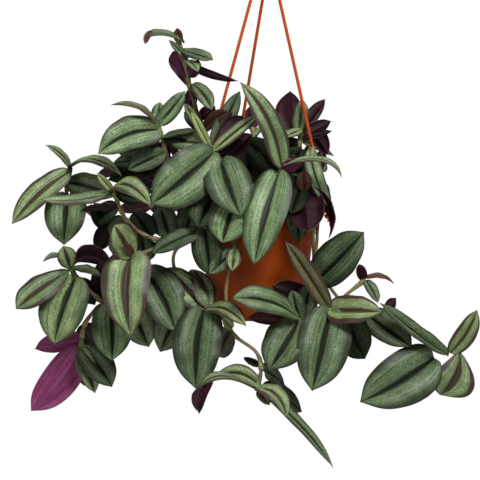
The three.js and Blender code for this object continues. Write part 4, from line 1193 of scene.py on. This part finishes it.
grow(
    "front", (-2, 42), 342,
    [(230, 222, 66), (235, 249, 68), (229, 272, 68), (226, 296, 68), (232, 332, 72), (256, 352, 74),
        (261, 366, 76), (257, 391, 80)],
    leaf((234, 207, 64), (222, 243, 76), 42, (0, 1, 0.4), MATURE, arch=3),
    leaf((235, 249, 68), (232, 271, 80), 17, (0, 1, 0.2), LIME_STRIPED, fold=25),
    leaf((235, 250, 68), (209, 274, 74), 20, (-0.1, 1, 0.3), DUSKY),
    leaf((231, 328, 72), (216, 356, 44), 28, (-0.2, 1, 0.2), DRAB),
    leaf((232, 328, 72), (222, 318, 84), 13, (0, 1, 0.5), YOUNG),
    leaf((258, 390, 80), (193, 431, 88), 14, (-0.3, 0.8, 1), DULL_STRIPED, arch=45, twist=-97, curl=50,
        broadest=0.8),
    leaf((257, 390, 80), (287, 418, 98), 24, (0.3, 0.8, 1), STRIPED, arch=12),
    leaf((260, 369, 77), (285, 387, 56), 28, (0.3, 0.8, 0.8), DUSKY, sway=-2),
    leaf((262, 391, 80), (333, 467, 72), 14, (0.5, 1, 0.6), DIM_STRIPED, arch=4, fold=24, sway=-2),
    leaf((258, 389, 79), (302, 412, 60), 27, (0.4, 1, 0.6), DEEP, sway=-4),
    leaf((260, 368, 76), (244, 357, 58), 11, (0, 0.5, 1), SHADED),
    leaf((257, 391, 80), (270, 405, 84), 9, (0, 1, 0.2), OLIVE),
    leaf((260, 387, 80), (212, 379, 83), 20, (0, 1, 0.5), STRIPED, sway=10, broadest=0.6),
    leaf((212, 379, 84), (199, 414, 90), 11, (0.3, -1, 0.2), WINE, sway=-4),
)
grow(
    "right_low", (32, 15), 62,
    [(313, 230, 38), (314, 262, 42), (315, 285, 46), (312, 302, 52), (297, 323, 60)],
    leaf((316, 282, 46), (364, 232, 62), 44, (-0.2, 1, 0.4), DEEP, arch=4, sway=2.5),
    leaf((329, 309, 56), (285, 241, 76), 22, (-0.4, 0.8, 0.8), OLIVE, fold=30, sway=1),
    leaf((331, 311, 56), (382, 312, 84), 35, (0, 1, 0.6), LIME_STRIPED, arch=3, sway=2, broadest=0.65),
    leaf((330, 310, 56), (312, 391, 88), 54, (0.1, 1, 0.3), DUSKY, arch=7),
    leaf((298, 322, 60), (269, 370, 82), 47, (-0.2, 1, 0.4), DUSKY, arch=5, sway=-3),
    leaf((299, 320, 59), (232, 298, 90), 32, (-0.1, 1, 0.75), SOFT, arch=10, sway=1, broadest=1.35),
    leaf((309, 297, 54), (272, 286, 60), 22, (-0.3, -1, 0.5), BRONZE),
    leaf((299, 320, 59), (292, 290, 72), 20, (0, 1, 0.2), DUSKY),
    leaf((302, 316, 58), (312, 282, 60), 24, (0, 1, 0.3), DEEP),
    leaf((299, 320, 60), (247, 318, 52), 18, (0, -1, 0.4), WINE, sway=-1),
    leaf((338, 311, 56), (365, 359, 42), 40, (0.2, 1, 0.3), SHADED),
    leaf((364, 279, 44), (394, 284, 38), 10, (0, 0.6, 1), BRONZE, arch=6),
    leaf((364, 281, 44), (359, 264, 50), 11, (0, -1, 0.3), BRONZE),
    leaf((366, 281, 44), (378, 303, 60), 13, (0.2, 1, 0.4), DIM_STRIPED, arch=2),
    shoot=[(315, 285, 46), (320, 298, 52), (330, 310, 56), (346, 295, 50), (365, 280, 44)],
)
grow(
    "right_far", (44, 2), 98,
    [(317, 238, -8), (317, 264, -4), (332, 290, -2), (350, 308, 2), (380, 311, 6), (415, 333, 14),
        (449, 353, 20)],
    leaf((364, 313, 4), (412, 347, 34), 36, (0.1, 1, 0.6), DEEP, arch=2, sway=2),
    leaf((448, 356, 20), (380, 303, 38), 24, (0, 0.8, 1), DUSKY, fold=26, sway=-4),
    leaf((450, 353, 20), (477, 310, 28), 22, (0.2, 1, 0.3), LIME_STRIPED, sway=3),
    leaf((459, 351, 20), (440, 395, 30), 44, (0.3, 1, 0.8), FADED, arch=4, sway=-7, broadest=1.9),
    leaf((434, 358, 22), (360, 402, 48), 57, (-0.2, 1, 0.2), DUSKY, arch=3, sway=-4, broadest=0.72),
    leaf((386, 314, 7), (396, 298, -12), 14, (0, -1, 0.3), BRONZE),
)
grow(
    "centre_right", (19, 36), None,
    [(281, 190, 46), (281, 166, 52)],
    leaf((281, 168, 52), (240, 82, 56), 27, (0.3, 1, 0.3), DULL_STRIPED, arch=8, sway=5, broadest=0.65),
    leaf((281, 170, 54), (303, 161, 60), 14, (0, -1, 0.3), PLUM, broadest=0.7),
    leaf((281, 168, 52), (350, 170, 74), 13, (0, 0.6, 1), DULL_STRIPED, arch=10, curl=75),
    leaf((279, 173, 50), (254, 265, 86), 46, (-0.3, 1, 0.3), MATURE, arch=10, sway=-2, broadest=0.8),
    leaf((281, 176, 50), (244, 138, 8), 32, (-0.3, 1, 0.4), SHADED),
    leaf((281, 184, 48), (240, 164, 10), 34, (0, 1, 0.6), SHADED),
    leaf((281, 184, 48), (254, 158, 22), 30, (0, 1, 0.5), SHADED),
    leaf((281, 184, 48), (262, 140, 12), 30, (0, 1, 0.3), SHADED),
)
grow(
    "centre", (-18, 24), None,
    [(226, 188, 36), (220, 161, 48), (210, 146, 50)],
    leaf((221, 161, 48), (241, 217, 80), 49, (0.2, 1, 0.3), DUSKY, arch=4, sway=3),
    leaf((214, 152, 50), (151, 204, 76), 52, (0.1, 1, 0), SOFT, arch=7, sway=-2, broadest=0.95),
    leaf((210, 148, 50), (191, 111, 50), 10, (0, 1, 0.2), YOUNG),
    leaf((213, 151, 50), (258, 115, 44), 14, (0.2, 1, 0.4), STRIPED, arch=4),
    leaf((209, 147, 46), (170, 142, 36), 26, (-0.1, 0.9, 0.6), MATURE, arch=3),
    leaf((211, 148, 50), (232, 112, 32), 15, (0.2, -1, 0.3), BRONZE),
    leaf((213, 148, 50), (243, 116, 40), 20, (0.2, -1, 0.4), WINE, broadest=1.5),
    leaf((212, 147, 48), (240, 91, 16), 19, (0.2, 1, 0.3), DEEP),
    leaf((217, 156, 50), (247, 144, 26), 24, (0, -1, 0.5), SHADED),
    leaf((226, 186, 36), (238, 138, 20), 34, (0, 1, 0.3), SHADED),
    leaf((222, 160, 44), (252, 134, 26), 24, (0, -1, 0.3), WINE),
    leaf((215, 156, 46), (199, 200, 46), 22, (0, 1, 0.2), DARK),
)
grow(
    "upper_left", (-32, 16), None,
    [(190, 182, 24), (168, 160, 34), (163, 140, 38), (157, 124, 40)],
    leaf((157, 126, 40), (111, 105, 48), 13, (-0.2, 0.6, 1), OLIVE, arch=10),
    leaf((157, 125, 40), (185, 91, 46), 18, (0.3, 1, 0.2), MATURE, sway=1),
    leaf((157, 124, 40), (160, 102, 38), 15, (0, 1, 0.2), MATURE),
    leaf((160, 130, 40), (98, 154, 66), 37, (-0.1, 1, 0.2), MATURE, sway=7, broadest=0.7),
    leaf((163, 139, 38), (197, 131, 48), 18, (0, 0.35, 1), DEEP),
    leaf((166, 152, 36), (128, 170, 40), 26, (0, 1, 0.6), DUSKY),
    leaf((164, 144, 37), (160, 168, 20), 17, (0, -1, 0.3), SHADED),
    leaf((168, 160, 34), (112, 164, 22), 24, (0, 1, 0.6), DEEP, arch=3),
    leaf((168, 160, 34), (108, 180, 26), 30, (0, 1, 0.6), SHADED),
    leaf((163, 139, 38), (140, 141, 20), 18, (0, 1, 0.4), DUSKY),
    leaf((163, 141, 38), (200, 132, 34), 20, (0, 0.8, 0.8), DEEP),
    leaf((166, 152, 34), (116, 150, 16), 26, (0, 1, 0.5), DEEP),
)
grow(
    "upright", (-14, 2), None,
    [(214, 172, 6), (203, 130, 12), (194, 102, 14), (189, 84, 14), (186, 66, 14), (178, 40, 14)],
    leaf((184, 43, 14), (137, 38, 26), 14, (-0.2, 0.8, 1), DUSKY, arch=8, curl=95),
    leaf((179, 42, 14), (177, 28, 20), 10, (0, 1, 0.3), BRONZE),
    leaf((188, 59, 14), (169, 40, 24), 8, (-0.2, 1, 0.2), DULL_STRIPED),
    leaf((185, 62, 14), (198, 72, 38), 15, (0.2, 0.7, 1), MATURE, arch=3),
    leaf((180, 50, 14), (213, 60, 30), 17, (0.2, 1, 0.7), DUSKY, arch=1, sway=1, broadest=1.35),
    leaf((190, 89, 14), (173, 51, 6), 20, (-0.2, -1, 0.2), VIOLET, sway=-1, broadest=2),
    leaf((192, 89, 14), (189, 114, 4), 14, (0, -1, 0.3), VIOLET),
    leaf((187, 64, 14), (238, 81, 34), 10, (0, -1, 0.6), BRONZE, arch=-2, sway=-2, broadest=0.6),
    leaf((193, 84, 13), (212, 110, 30), 18, (0.2, 1, 0.3), DIM_STRIPED, sway=-2),
    leaf((204, 133, 12), (184, 103, 24), 12, (0, 1, 0.2), STRIPED),
    leaf((214, 172, 6), (246, 172, 12), 30, (0, 0.2, 1), MATURE, arch=4),
    leaf((203, 131, 12), (184, 112, 6), 14, (0, 1, 0.3), DEEP),
    leaf((203, 131, 13), (229, 112, 50), 16, (0.2, 1, 0.3), BRONZE, sway=-3),
    leaf((189, 78, 14), (199, 60, 24), 14, (0, -1, 0.3), VIOLET),
    leaf((200, 119, 12), (215, 106, 18), 15, (0.1, -1, 0.3), VIOLET),
    leaf((151, 31, 26), (145, 44, 30), 7, (0, 1, 0.2), BRONZE, sway=1),
)
grow(
    "right_high", (34, -10), None,
    [(300, 180, -6), (299, 156, -4), (301, 126, -3)],
    leaf((299, 131, -3), (290, 91, -16), 31, (-0.2, -1, 0.2), WINE, sway=5),
    leaf((298, 132, -3), (302, 99, -4), 18, (-0.2, 1, 0.2), DULL_STRIPED, sway=1),
    leaf((301, 130, -3), (285, 137, 14), 13, (-0.2, 1, 0.5), STRIPED),
    leaf((301, 130, -3), (325, 99, -16), 15, (0.2, -1, 0.3), BRONZE),
    leaf((300, 138, -3), (331, 121, -6), 17, (0.2, -1, 0.6), BRONZE),
    leaf((300, 139, -3), (332, 131, -12), 9, (0.2, -1, 0.4), BRONZE),
    leaf((303, 128, -6), (328, 155, -14), 20, (0.3, -1, 0.4), WINE, arch=3, sway=3),
    leaf((300, 141, -4), (334, 156, -32), 10, (0.3, 1, 0.5), DUSKY, sway=-2),
    leaf((299, 150, -4), (295, 164, 16), 19, (0, 1, 0.3), SHADED),
    leaf((300, 180, -6), (268, 178, -4), 32, (-0.2, 0.2, 1), MATURE, arch=4),
    leaf((300, 146, -4), (280, 146, 8), 20, (0, 1, 0.4), SHADED),
    leaf((300, 178, -6), (292, 157, 14), 26, (0, 1, 0.3), SHADED),
)
grow(
    "right_middle", (29, 28), None,
    [(294, 190, 34), (303, 184, 46), (310, 166, 38), (313, 147, 30)],
    leaf((304, 190, 50), (304, 170, 60), 16, (0, 1, 0.2), BRONZE),
    leaf((305, 190, 48), (309, 232, 86), 35, (0.1, -1, 0.2), DEEP, fold=6),
    leaf((306, 189, 48), (329, 238, 72), 25, (1, -0.6, 0.7), BRONZE, arch=11),
    leaf((309, 169, 39), (332, 206, 46), 10, (0.4, 1, 0.3), DULL_STRIPED),
    leaf((310, 149, 30), (330, 208, 56), 18, (0.2, 1, 0.3), MATURE, arch=3, sway=5),
    leaf((300, 190, 40), (298, 243, 66), 28, (-0.1, 1, 0.2), DEEP, arch=6),
    leaf((301, 187, 46), (291, 214, 68), 24, (0, 1, 0.2), SHADED),
)
grow(
    "back", (-6, -38), 190,
    [(240, 230, -76), (236, 262, -86), (244, 296, -88)],
    leaf((243, 216, -72), (222, 250, -98), 34, (-0.3, -1, 0.4), MATURE, arch=4),
    leaf((239, 236, -79), (272, 266, -104), 34, (0.2, -1, 0.4), DUSKY, arch=4),
    leaf((236, 262, -86), (224, 303, -104), 32, (-0.2, -1, 0.4), MATURE, arch=4),
    leaf((241, 284, -88), (268, 312, -104), 32, (0.2, -1, 0.4), MATURE),
    leaf((244, 295, -88), (243, 318, -110), 24, (0, -1, 0.5), YOUNG),
)
grow(
    "back_right", (20, -34), 160,
    [(277, 226, -80), (284, 252, -98), (281, 282, -112)],
    leaf((275, 206, -70), (300, 226, -104), 32, (0.4, -1, 0.5), MATURE, arch=4),
    leaf((279, 232, -86), (258, 258, -124), 32, (-0.3, -1, 0.5), DUSKY, arch=4),
    leaf((284, 252, -98), (303, 284, -124), 32, (0.3, -1, 0.4), MATURE, arch=4),
    leaf((283, 270, -106), (266, 300, -134), 30, (-0.2, -1, 0.4), STRIPED),
    leaf((281, 281, -112), (285, 310, -128), 24, (0, -1, 0.4), YOUNG),
)
grow(
    "back_left", (-24, -30), 224,
    [(196, 182, -76), (166, 190, -106), (150, 206, -118)],
    leaf((196, 182, -76), (172, 158, -100), 30, (0, -0.4, 1), MATURE, arch=3),
    leaf((184, 184, -88), (182, 216, -124), 34, (0, -1, 0.7), STRIPED, arch=3),
    leaf((167, 190, -105), (136, 174, -124), 32, (-0.2, -0.5, 1), DUSKY, arch=3),
    leaf((157, 198, -112), (166, 220, -146), 30, (0.2, -1, 0.8), MATURE),
    leaf((150, 206, -118), (120, 212, -136), 28, (-0.3, -0.8, 1), YOUNG),
)
grow(
    "side_left", (-42, -16), 250,
    [(180, 174, -42), (150, 160, -60), (124, 166, -70)],
    leaf((178, 173, -43), (164, 140, -62), 30, (0, -0.6, 1), MATURE, arch=3),
    leaf((164, 165, -53), (176, 200, -84), 32, (0, -1, 1), DUSKY, arch=3),
    leaf((150, 160, -60), (124, 138, -80), 30, (-0.2, -0.6, 1), STRIPED, arch=3),
    leaf((138, 161, -65), (138, 196, -90), 32, (-0.2, -1, 0.8), MATURE, arch=3),
    leaf((124, 166, -70), (97, 180, -80), 26, (-0.4, -0.4, 1), MATURE),
    leaf((192, 180, -30), (226, 180, -12), 36, (0, 0.2, 1), DUSKY, arch=3),
)
grow(
    "side_right", (38, -25), 120,
    [(312, 180, -42), (318, 174, -76)],
    leaf((312, 180, -42), (322, 148, -54), 22, (0.6, -0.6, 0.5), MATURE),
    leaf((314, 178, -52), (322, 214, -82), 26, (0.6, -1, 0.6), DUSKY, arch=3),
    leaf((317, 175, -66), (292, 196, -98), 28, (0, -1, 0.8), MATURE, arch=3),
    leaf((318, 174, -75), (315, 150, -112), 24, (0.2, -0.4, 1), STRIPED),
)
grow(
    "back_upright", (4, -20), None,
    [(262, 182, -38), (258, 154, -56), (252, 128, -68)],
    leaf((262, 180, -39), (240, 164, -78), 26, (-0.2, -0.6, 1), MATURE, arch=4),
    leaf((260, 164, -50), (288, 152, -78), 26, (0.3, -0.6, 1), STRIPED, arch=4),
    leaf((258, 152, -56), (244, 150, -100), 24, (-0.2, -0.6, 1), DUSKY, arch=4),
    leaf((255, 140, -62), (274, 122, -86), 24, (0.3, -0.6, 1), MATURE, arch=3),
    leaf((252, 128, -68), (250, 106, -84), 18, (0, -1, 0.5), YOUNG),
    leaf((263, 187, -34), (232, 184, -30), 34, (-0.2, 0, 1), DUSKY, arch=4),
    leaf((263, 184, -36), (294, 180, -26), 32, (0.2, 0.1, 1), MATURE, arch=4),
)
bpy.data.objects.remove(flat_leaf)

# Floor and light
# The pot hangs above a plain pale floor in front of white. A large soft light from the right and a
# weaker one from the left stand on the camera's side, a third hangs above and a fourth is behind.
FLOOR_HEIGHT = -0.85
FLOOR_RADIUS = 1.5
LIGHTS = (
    ((0.6, -1.25, 1.15), 0.8, 38),
    ((-1.5, -1.5, 0.1), 1.2, 8),
    ((0.1, -0.2, 1.2), 1.0, 5),
    ((0.2, 1.8, 0.3), 1.2, 7),
)

pick()
bpy.ops.mesh.primitive_circle_add(
    vertices=96, radius=FLOOR_RADIUS, fill_type="NGON", location=(0, 0, FLOOR_HEIGHT)
)
bpy.ops.object.transform_apply()
ground = bpy.context.object
ground.name = "pale_floor"
floor_finish, floor_surface, floor_places = finish_of("pale floor", 0.8)
floor_cloud = noise(floor_places["Object"], 6.0)
floor_colour = blended(floor_cloud, colour(226, 225, 222), colour(236, 235, 233))
lead(floor_colour, floor_surface["Base Color"])
coat(ground, floor_finish)

for place, size, power in LIGHTS:
    bpy.ops.object.light_add(type="AREA", location=place)
    lamp = bpy.context.object
    lamp.data.energy = power
    lamp.data.size = size
    lamp.rotation_euler = (photo_middle - lamp.location).to_track_quat("-Z", "Y").to_euler()

world = bpy.data.worlds.new("white studio")
bpy.context.scene.world = world
world.use_nodes = True
backdrop = world.node_tree.nodes["Background"].inputs
backdrop["Color"].default_value = (1, 1, 1, 1)
seen = put(world.node_tree, "ShaderNodeLightPath").outputs["Is Camera Ray"]
lead(ramp(seen, 0.0, 1.0, 0.14, 1.0), backdrop["Strength"])
bpy.context.scene.view_settings.view_transform = "Standard"
